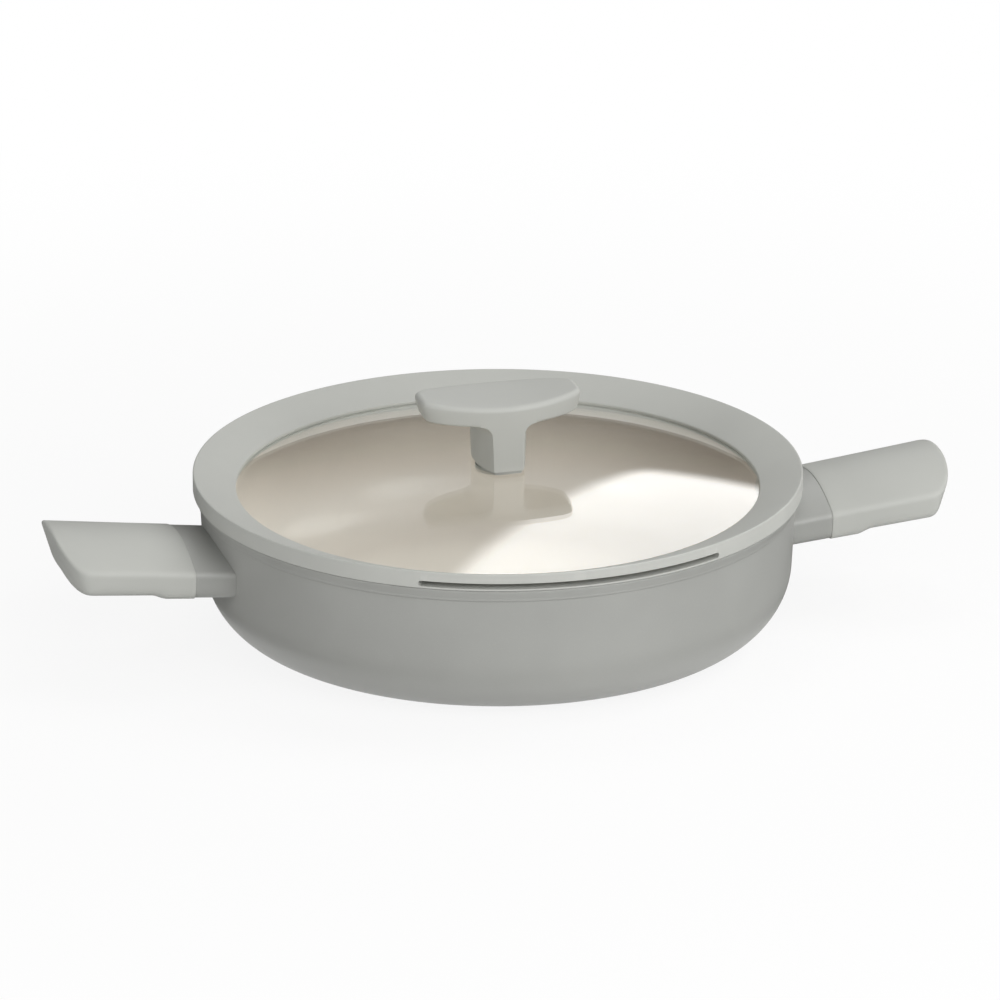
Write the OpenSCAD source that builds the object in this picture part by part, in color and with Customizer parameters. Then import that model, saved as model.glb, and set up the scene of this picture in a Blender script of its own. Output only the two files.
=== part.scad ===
// Saute pan with two short handles, and a domed glass lid in a soft rim with a pouring slit.
// Millimetres, +Z up. The origin is on the axis of the pan, in the plane that it stands on.
// The handles lie along X, and the slit in the lid's rim faces -Y.

/* [Pan] */
// Outer diameter of the pan's wall, just under its collar
pan_d = 289.2; // [260:0.2:320]
// Height of the pan's brim above the surface that it stands on
pan_h = 71; // [62:0.5:100]
// Thickness of the pan's wall
wall_t = 3.6; // [2.6:0.1:4.6]
// Thickness of the pan's floor
floor_t = 4.6; // [3.4:0.1:7]
// Lean of the wall, inwards on its way down, in degrees
wall_lean = 3; // [1:0.5:6]
// Outer radius of the turn from the wall into the base
corner_r = 34.7; // [24:0.1:36]

/* [Collar] */
// Height of the flared collar that takes the lid
collar_h = 6.2; // [5:0.1:9]
// How far the collar's brim stands out past the wall
collar_flare = 2.6; // [1.6:0.1:4]
// Width of the step under the collar
collar_step = 0.9; // [0.5:0.1:1.3]
// Thickness of the collar at its brim
brim_t = 3.8; // [3:0.1:4.6]

/* [Induction base] */
// Width of the flat land round the steel disc
disc_land = 10.3; // [6:0.1:30]
// Thickness of the steel disc
disc_t = 1.2; // [0.8:0.1:2]
// How far the steel disc stands proud of the base
disc_proud = 0.4; // [0.2:0.1:0.6]
// Diameter of the holes punched in the disc
punch_d = 5.5; // [3:0.5:7]
// Number of rings of punched holes
punch_rings = 5; // [2:1:6]

/* [Lid rim] */
// How far the lid's rim stands out past the collar's brim
rim_overhang = 0.8; // [0:0.1:2]
// Height of the rim's outer side
rim_h = 8.8; // [8:0.1:12]
// Width of the rim's top, from its outer side to the window
rim_w = 20.9; // [19:0.1:28]
// Drop of the rim's top from its outer edge to the window
rim_dish = 7.8; // [4:0.1:8.4]
// Thickness of the lips that hold the edge of the glass
lip_t = 1.2; // [0.8:0.1:2]
// Drop of the skirt below the rim's outer side
skirt_h = 8.8; // [7.6:0.1:10]
// Thickness of the skirt
skirt_t = 8.1; // [6:0.1:9]
// Gap between the skirt and the collar
skirt_gap = 0.3; // [0.2:0.05:0.6]
// Gap between the rim and the brim that it rests on
rest_gap = 0.2; // [0.1:0.05:0.4]

/* [Pouring slit] */
// Angle that the slit spans, in degrees
slit_span = 59; // [20:1:120]
// Height of the slit
slit_h = 2.8; // [2:0.1:3.2]
// Thickness of the lip left under the slit
slit_lip = 1; // [0.8:0.1:1.6]

/* [Glass] */
// Thickness of the glass
glass_t = 4; // [3:0.1:4.4]
// Rise of the dome from the window's edge to its middle
glass_rise = 13.2; // [8:0.1:24]
// How far the glass is tucked into the rim
glass_tuck = 4.4; // [3:0.1:5]

/* [Knob] */
// Length of the knob's paddle
knob_l = 80; // [66:0.5:100]
// Width of the paddle in the middle
knob_w = 41.2; // [36:0.2:50]
// Width of the paddle's ends
knob_end_w = 21; // [14:0.2:26]
// Height of the gap for the fingers under the paddle
finger_h = 23.4; // [20:0.2:34]
// Thickness of the paddle in the middle
paddle_t = 9.2; // [6:0.1:11]
// Rise of the paddle's top from its middle to its ends
saddle = 2.6; // [0:0.1:5]
// Width of the stem's front and back faces at its foot
stem_w = 14.6; // [12:0.2:18]
// How far each flank of the stem swells out in the middle of its depth
stem_swell = 4.6; // [1:0.1:6]
// Radius from the stem's flank into the paddle
stem_fillet = 6; // [3:0.1:8]

/* [Knob fixing] */
// Diameter of the screw's thread, for the knob and the grips
screw_d = 5; // [4:0.5:6]
// Outer diameter of the threaded insert in the knob
insert_d = 9; // [8:0.2:10.4]
// Length of the threaded insert
insert_l = 13; // [8:0.5:16]
// Thickness of the seal between the knob and the glass
seal_t = 1.1; // [0.8:0.1:2.4]
// Diameter of the washer under the glass
washer_d = 22; // [18:0.5:30]
// Thickness of the washer under the glass
washer_t = 1.2; // [0.8:0.1:2]

/* [Handle] */
// Distance from the pan's wall to the start of the grip
bracket_l = 14.8; // [13:0.2:30]
// Length of the grip from its root to its tip
grip_l = 65; // [58:0.5:90]
// Width of the grip across the edges of its top
grip_w = 71.6; // [66:0.2:80]
// Height of the grip at its root
grip_h = 23.4; // [21:0.2:28]
// Drop of the grip's crowned top from its crest to its edges, at the root
crown = 8.9; // [7:0.1:11]
// Rise of the grip's crest on the way out, in degrees
crest_rise = 7.9; // [4:0.1:10]
// Rise of the edges of the grip's top, in degrees
edge_rise = 5.9; // [4:0.1:7]
// Rise of the grip's underside, in degrees
under_rise = 5.2; // [4:0.1:6]
// How far each flank of the grip leans in from the top edge to the underside
flank_lean = 1.6; // [1:0.1:5]
// Distance that the tip leans in from the top edge to the underside
tip_lean = 7; // [3:0.1:9]
// Length of the rounded nose of the grip
nose_l = 15.5; // [14:0.5:26]
// Squareness of the nose: 2 is an ellipse, and more is blunter
nose_squareness = 2.6; // [2:0.1:4]
// Length of the thicker boss under the grip's root
boss_l = 13.4; // [12.8:0.1:18]
// Depth of the step behind the boss
boss_step = 1.8; // [1:0.1:3]
// Drop from the underside of the collar to the handle's crest at the wall
handle_drop = 4.7; // [2:0.1:6]

/* [Handle fixing] */
// Width of the tenon that carries the grip
tenon_w = 25; // [20:0.5:26]
// Thickness of the tenon
tenon_t = 10; // [8:0.2:11]
// Length of the tenon
tenon_l = 38; // [30:0.5:42]
// Gap round the tenon in the grip
tenon_gap = 0.3; // [0.1:0.05:0.5]
// Diameter of the rivets' shanks
rivet_d = 6; // [5:0.2:7]
// Distance of each rivet from the middle of the handle
rivet_y = 19.5; // [19:0.1:20]
// Thickness of the bracket under the rivets' tails
plate_t = 4.5; // [3.5:0.1:6]

/* [Hidden] */
$fn = 144;

// Finishes
coating_colour = "#8f918c";
soft_touch_colour = "#b4b7b0";
steel_colour = "#c9cbce";
brass_colour = "#c9a45c";
silicone_colour = "#a9aca5";
glass_colour = "#dfe9ea80";

// Overrun of every cut, and the clearance round threads
cut_over = 1;
thread_gap = 0.1;

// Pan: heights and radii
base_z = disc_proud;
collar_z = pan_h - collar_h;
wall_r = pan_d / 2;
brim_r = wall_r + collar_flare;
collar_bore_r = brim_r - brim_t;
bead_r = collar_step;
brim_round = 0.7;
disc_gap = 0.1;

// Induction disc: the outer ring of holes keeps a land to the disc's edge
disc_d = (flat_r(wall_r, base_z, corner_r) - disc_land) * 2;
punch_land = 8;
punch_pitch = (disc_d / 2 - punch_land - punch_d / 2) / punch_rings;
punch_step = 6;

// Lid rim: heights and radii
rim_r = brim_r + rim_overhang;
rim_low = pan_h + rest_gap;
rim_top = rim_low + rim_h;
window_r = rim_r - rim_w;
window_z = rim_top - rim_dish;
skirt_r = collar_bore_r - skirt_gap;
skirt_in_r = skirt_r - skirt_t;
skirt_low = rim_low - skirt_h;
ledge_gap = 0.6;
skirt_chamfer = skirt_r - (wall_r - wall_t) + collar_z - skirt_low + ledge_gap;
rim_round = 1;
skirt_shoulder = 0.6;

// Slit: it runs in over the brim, and then down through the skirt
slit_low = rim_low + slit_lip;
slit_wall = 3.2;

// Glass: a slice of a spherical shell
glass_r = window_r + glass_tuck;
dome_r = (window_r * window_r + glass_rise * glass_rise) / (2 * glass_rise);
glass_top = window_z - lip_t + glass_rise;
dome_z = glass_top - dome_r;
glass_low = glass_top - glass_t;
glass_hole_d = 10;

// Knob: radii and heights above its foot
knob_z = glass_top + seal_t;
face_bow = (knob_w - knob_end_w) / 2;
face_r = (knob_l * knob_l / 4 + face_bow * face_bow) / (2 * face_bow);
paddle_squareness = 7;
paddle_top = finger_h + paddle_t;
under_lift_share = 0.6;
stem_draft = 0.6;
stem_top_w = stem_w / 2 + stem_draft + stem_fillet;
end_lean = 1.8;
top_round = 2.6;
low_round = 1.2;
flank_steps = 12;
face_steps = 4;
round_steps = 5;
face_step_share = 0.06;
face_roll_share = 0.09;
low_roll_share = 0.3;
face_fade = 6;
under_shares = [0.5, 1];

// Knob fixing
seal_inset = 0.8;
seal_steps = 8;
insert_groove = 0.6;
insert_groove_share = 0.25;
insert_head_room = 2;
grommet_t = 1.2;
flange_z = dome_at(dome_r - glass_t, washer_d / 2);
knob_head_d = 11;
knob_head_h = 3;
knob_head_round = 1.4;

// Handle: places are measured out from the grip's root, at u = 0
root_x = wall_r + bracket_l;
grip_half = grip_w / 2;
low_half = grip_half - flank_lean;
crest_root = collar_z - handle_drop + bracket_l * tan(crest_rise);
under_root = crest_root - grip_h;
nose_u = grip_l - nose_l;
low_nose_l = nose_l - tip_lean;
boss_ramp = 7.8;
edge_round = 2.6;
under_round = 6;
most_in_share = 0.7;
bracket_inset = 0.4;
bracket_dive = 9;
nose_steps = 14;
nose_bias = 1.5;
tip_share = 0.04;
crown_steps = 6;
bend_steps = 4;
ramp_steps = 6;

// Handle fixing
tenon_rise = under_rise;
tenon_height_share = 0.5;
tenon_z = under_root + grip_h * tenon_height_share;
socket_end_gap = 1;
grip_screw_u = 7.6;
grip_head_d = 9;
grip_head_h = 2.2;
grip_head_round = 1.2;
spring_washer_d = 8.6;
spring_washer_t = 1.1;
spring_slot = 1;
head_room = 0.5;
head_recess = 0.4;
grip_seat_z = under_z(grip_screw_u) + grip_head_h + spring_washer_t + head_recess;
pocket_d = 11;
rivet_head_d = 12.5;
rivet_head_h = 2;
rivet_tail_d = 9.4;
rivet_tail_h = 2;
rivet_gap = 0.1;

// Point on the way from a to b, round the corner c
function bend(a, c, b, t) = (1 - t) * (1 - t) * a + 2 * t * (1 - t) * c + t * t * b;

// Outer radius of the wall at a height
function wall_r_at(z) = wall_r - (collar_z - z) * tan(wall_lean);

// Height of a sphere of radius r, centred on the dome's centre, at a distance from the axis
function dome_at(r, distance) = dome_z + sqrt(r * r - distance * distance);

// Solid skin over sections of equal counts of points. Each section is symmetric about its first
// point, so mirrored pairs of points make the strips that close the two ends.
module skin(sections) {
    n = len(sections[0]);
    last = (len(sections) - 1) * n;
    sides = [
        for (k = [0 : len(sections) - 2], i = [0 : n - 1])
            let (j = (i + 1) % n, a = k * n, b = a + n)
                each [[a + i, a + j, b + j], [a + i, b + j, b + i]]
    ];
    strips = [
        for (i = [0 : n / 2 - 1])
            let (j = i + 1, p = (n - i) % n, q = (n - j) % n)
                each concat(i == 0 ? [] : [[i, q, p]], j == q ? [] : [[i, j, q]])
    ];
    first_end = [for (f = strips) [f[0], f[2], f[1]]];
    last_end = [for (f = strips) [for (v = f) v + last]];
    polyhedron(
        points = [for (s = sections) each s],
        faces = concat(sides, first_end, last_end),
        convexity = 6
    );
}

// Radius of the flat bottom of a bowl. Its wall leans in from radius top_r at the collar, and a
// turn of radius turn_r takes it into the bottom at height low_z.
function flat_r(top_r, low_z, turn_r) =
    top_r - (collar_z - low_z - turn_r) * tan(wall_lean) - turn_r / cos(wall_lean);

// Half outline of such a bowl
module bowl_outline(top_r, low_z, turn_r) {
    turn_z = low_z + turn_r;
    turn_x = flat_r(top_r, low_z, turn_r);
    translate([turn_x, turn_z])
        intersection() {
            circle(r = turn_r);
            translate([0, -turn_r]) square(turn_r);
        }
    polygon([
        [0, low_z],
        [turn_x, low_z],
        [turn_x, turn_z],
        [turn_x + turn_r * cos(wall_lean), turn_z - turn_r * sin(wall_lean)],
        [top_r, collar_z],
        [0, collar_z],
    ]);
}

// The pan's outside as a solid, with the collar's bead and rounded brim
module pan_blank() {
    rotate_extrude() {
        bowl_outline(wall_r, base_z, corner_r);
        translate([wall_r + collar_step - bead_r, collar_z + bead_r]) circle(r = bead_r);
        polygon([
            [0, collar_z],
            [wall_r + collar_step - bead_r, collar_z],
            [wall_r + collar_step, collar_z + bead_r],
            [brim_r, pan_h - brim_round],
            [brim_r - brim_round, pan_h],
            [0, pan_h],
        ]);
    }
}

// The space inside the pan, with the ledge that the collar leaves round the wall
module pan_cavity() {
    rotate_extrude() {
        bowl_outline(wall_r - wall_t, base_z + floor_t, corner_r - wall_t);
        translate([0, collar_z - cut_over])
            square([wall_r - wall_t, cut_over * 2]);
        translate([0, collar_z]) square([collar_bore_r, collar_h + cut_over]);
    }
}

// Places a child on the pan's wall at one rivet, with +Z along the wall's outward normal
module at_rivet(side) {
    rotate([0, 0, side * asin(rivet_y / wall_r_at(rivet_z()))])
        translate([wall_r_at(rivet_z()), 0, rivet_z()])
            rotate([0, 90 + wall_lean, 0])
                children();
}

// Places children at both rivets of the right handle
module at_rivets() {
    for (side = [-1, 1])
        at_rivet(side) children();
}

// Height of the rivets: half way up the bracket
function rivet_z() = (top_z(-bracket_l, rivet_y) + under_z(-bracket_l)) / 2;

// A solid turned about Z from a list of steps, each a diameter and a length along Z
module turned(steps, z = 0, i = 0) {
    translate([0, 0, z]) cylinder(d = steps[i][0], h = steps[i][1]);
    if (i < len(steps) - 1)
        turned(steps, z + steps[i][1], i + 1);
}

// Low dome on the plane z = 0, with its crown at z = h
module dome_head(d, h) {
    ball_r = (d * d / 4 + h * h) / (2 * h);
    rotate_extrude()
        intersection() {
            translate([0, h - ball_r]) circle(r = ball_r);
            square([d / 2, h]);
        }
}

module pan_shell() {
    color(coating_colour)
        difference() {
            pan_blank();
            pan_cavity();
            cylinder(d = disc_d + disc_gap * 2, h = disc_t);
            for (turn = [0, 180])
                rotate([0, 0, turn])
                    at_rivets()
                        translate([0, 0, -wall_t - cut_over * 2])
                            cylinder(d = rivet_d + rivet_gap * 2, h = wall_t + cut_over * 4);
        }
}

module induction_base() {
    color(steel_colour)
        difference() {
            cylinder(d = disc_d, h = disc_t);
            for (ring = [1 : punch_rings], k = [0 : punch_step * ring - 1])
                rotate([0, 0, 360 * k / (punch_step * ring)])
                    translate([ring * punch_pitch, 0, -cut_over])
                        cylinder(d = punch_d, h = disc_t + cut_over * 2, $fn = 24);
        }
}

// Height of the handle's crowned top at a distance u out from the grip's root
function crest_sag(u) = crown + u * (tan(crest_rise) - tan(edge_rise));
function top_z(u, y) = crest_root + u * tan(crest_rise) - crest_sag(u) * pow(y / grip_half, 2);

// Height of the handle's underside, with the ramp behind the boss
function ramp_share(u) = min(1, max(0, (u - boss_l) / boss_ramp));
function smooth(t) = t * t * (3 - 2 * t);
function under_z(u) = under_root + u * tan(under_rise) + boss_step * smooth(ramp_share(u));

// A place on an outline moved in by a distance, square to a straight side and towards the
// middle of the nose beyond it, and never the whole way there
function moved_in(u, y, distance) =
    let (inward = [min(u, nose_u) - u, -y])
        [u, y] + inward * min(distance / norm(inward), most_in_share);

// Half of a handle's section, from the crest round to the flat of the underside. It joins the
// place (top_u, top_y) on the top edge to (low_u, low_y) on the underside's edge.
function half_section(top_u, top_y, low_u, low_y, inset) =
    let (
        top_in = moved_in(top_u, top_y, edge_round),
        low_in = moved_in(low_u, low_y, under_round),
        top_edge = [top_u, top_y, top_z(top_u, top_y) - inset],
        low_edge = [low_u, low_y, under_z(low_u) + inset],
        flank = (low_edge - top_edge) / norm(low_edge - top_edge),
        crown_end = [top_in[0], top_in[1], top_z(top_in[0], top_in[1]) - inset],
        flank_start = top_edge + flank * edge_round,
        flank_end = low_edge - flank * under_round,
        under_end = [low_in[0], low_in[1], under_z(low_in[0]) + inset]
    )
    concat(
        [
            for (k = [0 : crown_steps - 1])
                let (y = top_in[1] * k / crown_steps)
                    [top_in[0], y, top_z(top_in[0], y) - inset]
        ],
        [for (k = [0 : bend_steps]) bend(crown_end, top_edge, flank_start, k / bend_steps)],
        [for (k = [0 : bend_steps]) bend(flank_end, low_edge, under_end, k / bend_steps)]
    );

// Whole section: the half above, and its mirror image
function section(half) =
    concat(half, [for (k = [len(half) - 1 : -1 : 1]) [half[k][0], -half[k][1], half[k][2]]]);

// Section of the straight part of the handle
function straight_section(u, inset) =
    section(half_section(u, grip_half - inset, u, low_half - inset, inset));

// Share of the quarter turn that is left at a share of the way along the nose
function nose_share(t) = tip_share + (1 - tip_share) * pow(1 - t, nose_bias);

// Section part of the way round the nose, at an angle of 90 at its start and 0 at its tip
function nose_section(angle) =
    let (
        along = pow(cos(angle), 2 / nose_squareness),
        across = pow(sin(angle), 2 / nose_squareness)
    )
    section(half_section(
        nose_u + nose_l * along, grip_half * across,
        nose_u + low_nose_l * along, low_half * across, 0
    ));

// The tenon of the bracket, larger by a gap on each side and longer by an end gap
module tenon(gap, end_gap) {
    translate([root_x, 0, tenon_z])
        rotate([0, -tenon_rise, 0])
            translate([-cut_over, -tenon_w / 2 - gap, -tenon_t / 2 - gap])
                cube([tenon_l + cut_over + end_gap, tenon_w + gap * 2, tenon_t + gap * 2]);
}

// Places children on the axis of the grip's screw, at the floor of its recess
module at_grip_screw() {
    translate([root_x + grip_screw_u, 0, grip_seat_z]) children();
}

module bracket() {
    color(coating_colour)
        difference() {
            union() {
                translate([root_x, 0, 0])
                    skin([
                        straight_section(-bracket_l - bracket_dive, bracket_inset),
                        straight_section(0, bracket_inset),
                    ]);
                tenon(0, 0);
            }
            pan_blank();
            at_rivets() {
                translate([0, 0, plate_t]) cylinder(d = pocket_d, h = bracket_l);
                cylinder(d = rivet_d + rivet_gap * 2, h = plate_t + cut_over);
            }
            at_grip_screw() cylinder(d = screw_d + thread_gap * 2, h = grip_h);
        }
}

module rivets() {
    head_sag = rivet_head_d * rivet_head_d / (8 * (wall_r - wall_t));
    color(steel_colour)
        at_rivets() {
            translate([0, 0, -wall_t - head_sag])
                mirror([0, 0, 1])
                    dome_head(rivet_head_d, rivet_head_h);
            translate([0, 0, -wall_t - head_sag])
                cylinder(d = rivet_d, h = wall_t + head_sag + plate_t);
            translate([0, 0, plate_t]) dome_head(rivet_tail_d, rivet_tail_h);
        }
}

module grip() {
    color(soft_touch_colour)
        difference() {
            translate([root_x, 0, 0])
                skin(concat(
                    [straight_section(0, 0)],
                    [
                        for (k = [0 : ramp_steps])
                            straight_section(boss_l + boss_ramp * k / ramp_steps, 0)
                    ],
                    [
                        for (k = [0 : nose_steps])
                            nose_section(90 * nose_share(k / nose_steps))
                    ]
                ));
            tenon(tenon_gap, socket_end_gap);
            at_grip_screw() {
                translate([0, 0, -cut_over]) cylinder(d = screw_d + head_room * 2, h = grip_h / 2);
                mirror([0, 0, 1]) cylinder(d = grip_head_d + head_room * 2, h = grip_h);
            }
        }
}

module spring_washer() {
    color(steel_colour)
        at_grip_screw()
            translate([0, 0, -spring_washer_t])
                difference() {
                    cylinder(d = spring_washer_d, h = spring_washer_t);
                    translate([0, 0, -cut_over])
                        cylinder(d = screw_d + thread_gap * 2, h = spring_washer_t + cut_over * 2);
                    translate([0, -spring_slot / 2, -cut_over])
                        cube([spring_washer_d, spring_slot, spring_washer_t + cut_over * 2]);
                }
}

module grip_screw() {
    reach = tenon_z + grip_screw_u * tan(tenon_rise) + tenon_t / 2 - grip_seat_z - cut_over;
    color(steel_colour)
        at_grip_screw() {
            translate([0, 0, -spring_washer_t]) cylinder(d = screw_d, h = spring_washer_t + reach);
            translate([0, 0, -spring_washer_t]) mirror([0, 0, 1]) screw_head(grip_head_d, grip_head_h);
        }
}

// Pan head with a cross recess, standing on the plane z = 0
module screw_head(d, h) {
    recess_w_share = 0.16;
    recess_l_share = 0.56;
    recess_h_share = 0.55;
    difference() {
        dome_head(d, h);
        for (turn = [0, 90])
            rotate([0, 0, turn])
                translate([-d * recess_l_share / 2, -d * recess_w_share / 2, h * (1 - recess_h_share)])
                    cube([d * recess_l_share, d * recess_w_share, h]);
    }
}

// The spherical shell of the glass, out to a radius from the axis
module dome_shell(outer_r) {
    rotate_extrude()
        intersection() {
            translate([0, dome_z])
                difference() {
                    circle(r = dome_r, $fn = 1440);
                    circle(r = dome_r - glass_t, $fn = 1440);
                }
            translate([0, dome_z]) square([outer_r, dome_r + cut_over]);
        }
}

module lid_rim() {
    lip_low = dome_at(dome_r - glass_t, window_r) - lip_t;
    top_corner = [rim_r, rim_top];
    side_end = [rim_r, rim_top - rim_round];
    dish_start = [rim_r - rim_round, rim_top - rim_dish * rim_round / (rim_r - window_r)];
    color(soft_touch_colour)
        difference() {
            rotate_extrude()
                polygon(concat(
                    [[rim_r - rim_round / 2, rim_low], [rim_r, rim_low + rim_round / 2]],
                    [for (k = [0 : bend_steps]) bend(side_end, top_corner, dish_start, k / bend_steps)],
                    [
                        [window_r + rim_round / 2, window_z],
                        [window_r, window_z - rim_round / 2],
                        [window_r, lip_low],
                        [skirt_in_r, lip_low - skirt_shoulder],
                        [skirt_in_r, skirt_low],
                        [skirt_r - skirt_chamfer, skirt_low],
                        [skirt_r, skirt_low + skirt_chamfer],
                        [skirt_r, rim_low],
                    ]
                ));
            dome_shell(glass_r);
            pouring_slit();
        }
}

// The slit's space: in through the rim's side with round ends, and down through the skirt
module pouring_slit() {
    turn_r = skirt_r - slit_wall;
    rotate([0, 0, -90 - slit_span / 2]) {
        rotate_extrude(angle = slit_span)
            polygon([
                [rim_r + cut_over, slit_low],
                [turn_r, slit_low],
                [turn_r, skirt_low - cut_over],
                [skirt_in_r - cut_over, skirt_low - cut_over],
                [skirt_in_r - cut_over, skirt_low + skirt_h / 2],
                [turn_r, slit_low + slit_h],
                [rim_r + cut_over, slit_low + slit_h],
            ]);
        for (turn = [0, slit_span])
            rotate([0, 0, turn])
                translate([turn_r - slit_h / 2, 0, slit_low + slit_h / 2])
                    rotate([0, 90, 0])
                        cylinder(d = slit_h, h = rim_r - turn_r + slit_h / 2 + cut_over);
    }
}

module lid_glass() {
    color(glass_colour)
        difference() {
            dome_shell(glass_r);
            translate([0, 0, glass_low - cut_over])
                cylinder(d = glass_hole_d, h = glass_t + cut_over * 2);
        }
}

// Distance from the knob's long middle line to its bowed front face
function face_y(x) = knob_w / 2 - face_r + sqrt(face_r * face_r - x * x);

// Share of the half turn from the paddle's end to the stem's corner
function eased(k) = (1 - cos(180 * k / flank_steps)) / 2;

// Ring round the knob from a quarter of it, which runs from the middle of the flank to the corner
// of the face, and on to the middle of the face
function ring(quarter) =
    let (
        left = [for (k = [len(quarter) - 2 : -1 : 0]) [-quarter[k][0], quarter[k][1], quarter[k][2]]],
        half = concat(quarter, left)
    )
    concat(half, [for (k = [len(half) - 2 : -1 : 1]) [half[k][0], -half[k][1], half[k][2]]]);

// Quarter ring of the stem, where the face's half width is w
function stem_quarter(w, z, inset = 0) =
    let (corner_y = face_y(w) - inset)
    concat(
        [
            for (k = [0 : flank_steps])
                let (y = corner_y * k / flank_steps)
                    [w - inset + stem_swell * (1 - pow(k / flank_steps, 2)), y, z]
        ],
        [
            for (k = [1 : face_steps])
                let (x = (w - inset) * (1 - k / face_steps))
                    [x, face_y(x) - inset, z]
        ]
    );

// Height of the paddle's underside and top at a distance x from its middle
function end_share(x) = pow(x * 2 / knob_l, 2);
function paddle_low_z(x) = finger_h + saddle * under_lift_share * end_share(x);
function paddle_top_z(x) = paddle_top + saddle * end_share(x);

// Place on the paddle's outline, part of the way from its end to the corner of the face
function outline_at(k) =
    let (
        corner_angle = acos(pow(stem_top_w * 2 / knob_l, paddle_squareness / 2)),
        angle = corner_angle * eased(k),
        x = knob_l / 2 * pow(cos(angle), 2 / paddle_squareness)
    )
    [x, face_y(x) * pow(sin(angle), 2 / paddle_squareness)];

// The outline moved in by a distance, which fades to nothing at the face where keep_face is 1
function outline_in(k, distance, keep_face) =
    let (
        before = outline_at(max(k - 1, 0)),
        after = outline_at(min(k + 1, flank_steps)),
        along = k == 0 ? [0, 1] : (after - before) / norm(after - before),
        fade = keep_face == 1 ? 1 - pow(k / flank_steps, face_fade) : 1
    )
    outline_at(k) - [along[1], -along[0]] * distance * fade;

// Quarter ring of the paddle. lift(x) is its height above the underside, or below the top if
// from_top is 1; lean draws the ends in, and face_lift raises the part on the stem's faces.
function paddle_quarter(inset, lift, from_top, lean, keep_face, face_lift) =
    concat(
        [
            for (k = [0 : flank_steps])
                let (
                    p = outline_in(k, inset, keep_face),
                    x = p[0] - lean * end_share(p[0]),
                    z = from_top == 1 ? paddle_top_z(x) - lift : paddle_low_z(x) + lift
                )
                [x, p[1], k == flank_steps ? z + face_lift : z]
        ],
        [
            for (k = [1 : face_steps])
                let (
                    x = stem_top_w * (1 - k / face_steps),
                    z = from_top == 1 ? paddle_top_z(x) - lift : paddle_low_z(x) + lift
                )
                [x, face_y(x) - (keep_face == 1 ? 0 : inset), z + face_lift]
        ]
    );

// Quarter ring under the paddle, part of the way from the stem's flank to the paddle's edge
function under_quarter(share) =
    let (
        flank = stem_quarter(stem_top_w, finger_h),
        edge = paddle_quarter(low_round, 0, 0, end_lean, 1, 0)
    )
    [
        for (k = [0 : len(flank) - 1])
            let (p = flank[k] * (1 - share) + edge[k] * share)
                k < flank_steps
                    ? [p[0], p[1], paddle_low_z(p[0])]
                    : [flank[k][0], flank[k][1], finger_h + paddle_t * face_step_share * share]
    ];

module lid_knob() {
    foot_w = stem_w / 2;
    bend_z = finger_h - stem_fillet;
    bend_w = foot_w + stem_draft;
    roll = low_round * low_roll_share;
    fillet_angles = [for (k = [0 : round_steps]) 90 * k / round_steps];
    color(soft_touch_colour)
        difference() {
            translate([0, 0, knob_z])
                skin(concat(
                    [ring(stem_quarter(foot_w, 0))],
                    [
                        for (a = fillet_angles)
                            ring(stem_quarter(
                                bend_w + stem_fillet * (1 - cos(a)), bend_z + stem_fillet * sin(a)
                            ))
                    ],
                    [for (share = under_shares) ring(under_quarter(share))],
                    [
                        ring(paddle_quarter(roll, roll, 0, end_lean, 1, paddle_t * face_roll_share)),
                        ring(paddle_quarter(0, low_round, 0, end_lean, 1, paddle_t * face_step_share)),
                        ring(paddle_quarter(0, paddle_t / 2, 1, end_lean / 2, 1, 0)),
                    ],
                    [
                        for (a = fillet_angles)
                            ring(paddle_quarter(
                                top_round * (1 - cos(a)), top_round * (1 - sin(a)), 1, 0, 0, 0
                            ))
                    ]
                ));
            translate([0, 0, knob_z - cut_over]) {
                cylinder(d = insert_d, h = insert_l + cut_over);
                cylinder(d = screw_d + thread_gap * 2, h = insert_l + insert_head_room + cut_over);
            }
        }
}

module knob_insert() {
    band_l = insert_l * (1 - insert_groove_share) / 2;
    color(brass_colour)
        translate([0, 0, knob_z])
            difference() {
                turned([
                    [insert_d, band_l],
                    [insert_d - insert_groove * 2, insert_l * insert_groove_share],
                    [insert_d, band_l],
                ]);
                translate([0, 0, -cut_over])
                    cylinder(d = screw_d + thread_gap * 2, h = insert_l + cut_over * 2);
            }
}

// Soft seal with the stem's outline. Its underside is the dome's own curve.
module knob_seal() {
    outline = [for (p = ring(stem_quarter(stem_w / 2, 0, seal_inset))) [p[0], p[1]]];
    reach = knob_w / 2 + cut_over;
    radii = [for (k = [0 : seal_steps]) reach * k / seal_steps];
    color(silicone_colour)
        difference() {
            translate([0, 0, glass_low]) linear_extrude(height = glass_t + seal_t) polygon(outline);
            rotate_extrude()
                polygon(concat(
                    [for (r = radii) [r, dome_at(dome_r, r)]],
                    [[reach, glass_low - cut_over], [0, glass_low - cut_over]]
                ));
            translate([0, 0, glass_low - cut_over])
                cylinder(d = glass_hole_d, h = glass_t + seal_t + cut_over * 2);
        }
}

// Soft bush through the glass, with a flange under it
module glass_grommet() {
    color(silicone_colour)
        difference() {
            union() {
                translate([0, 0, flange_z - grommet_t]) cylinder(d = washer_d, h = grommet_t);
                translate([0, 0, flange_z - grommet_t])
                    cylinder(d = glass_hole_d - thread_gap * 2, h = knob_z - flange_z + grommet_t);
            }
            translate([0, 0, flange_z - grommet_t - cut_over])
                cylinder(d = screw_d + thread_gap * 2, h = knob_z - flange_z + grommet_t + cut_over * 2);
        }
}

module knob_washer() {
    color(steel_colour)
        translate([0, 0, flange_z - grommet_t - washer_t])
            difference() {
                cylinder(d = washer_d, h = washer_t);
                translate([0, 0, -cut_over])
                    cylinder(d = screw_d + thread_gap * 2, h = washer_t + cut_over * 2);
            }
}

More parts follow.
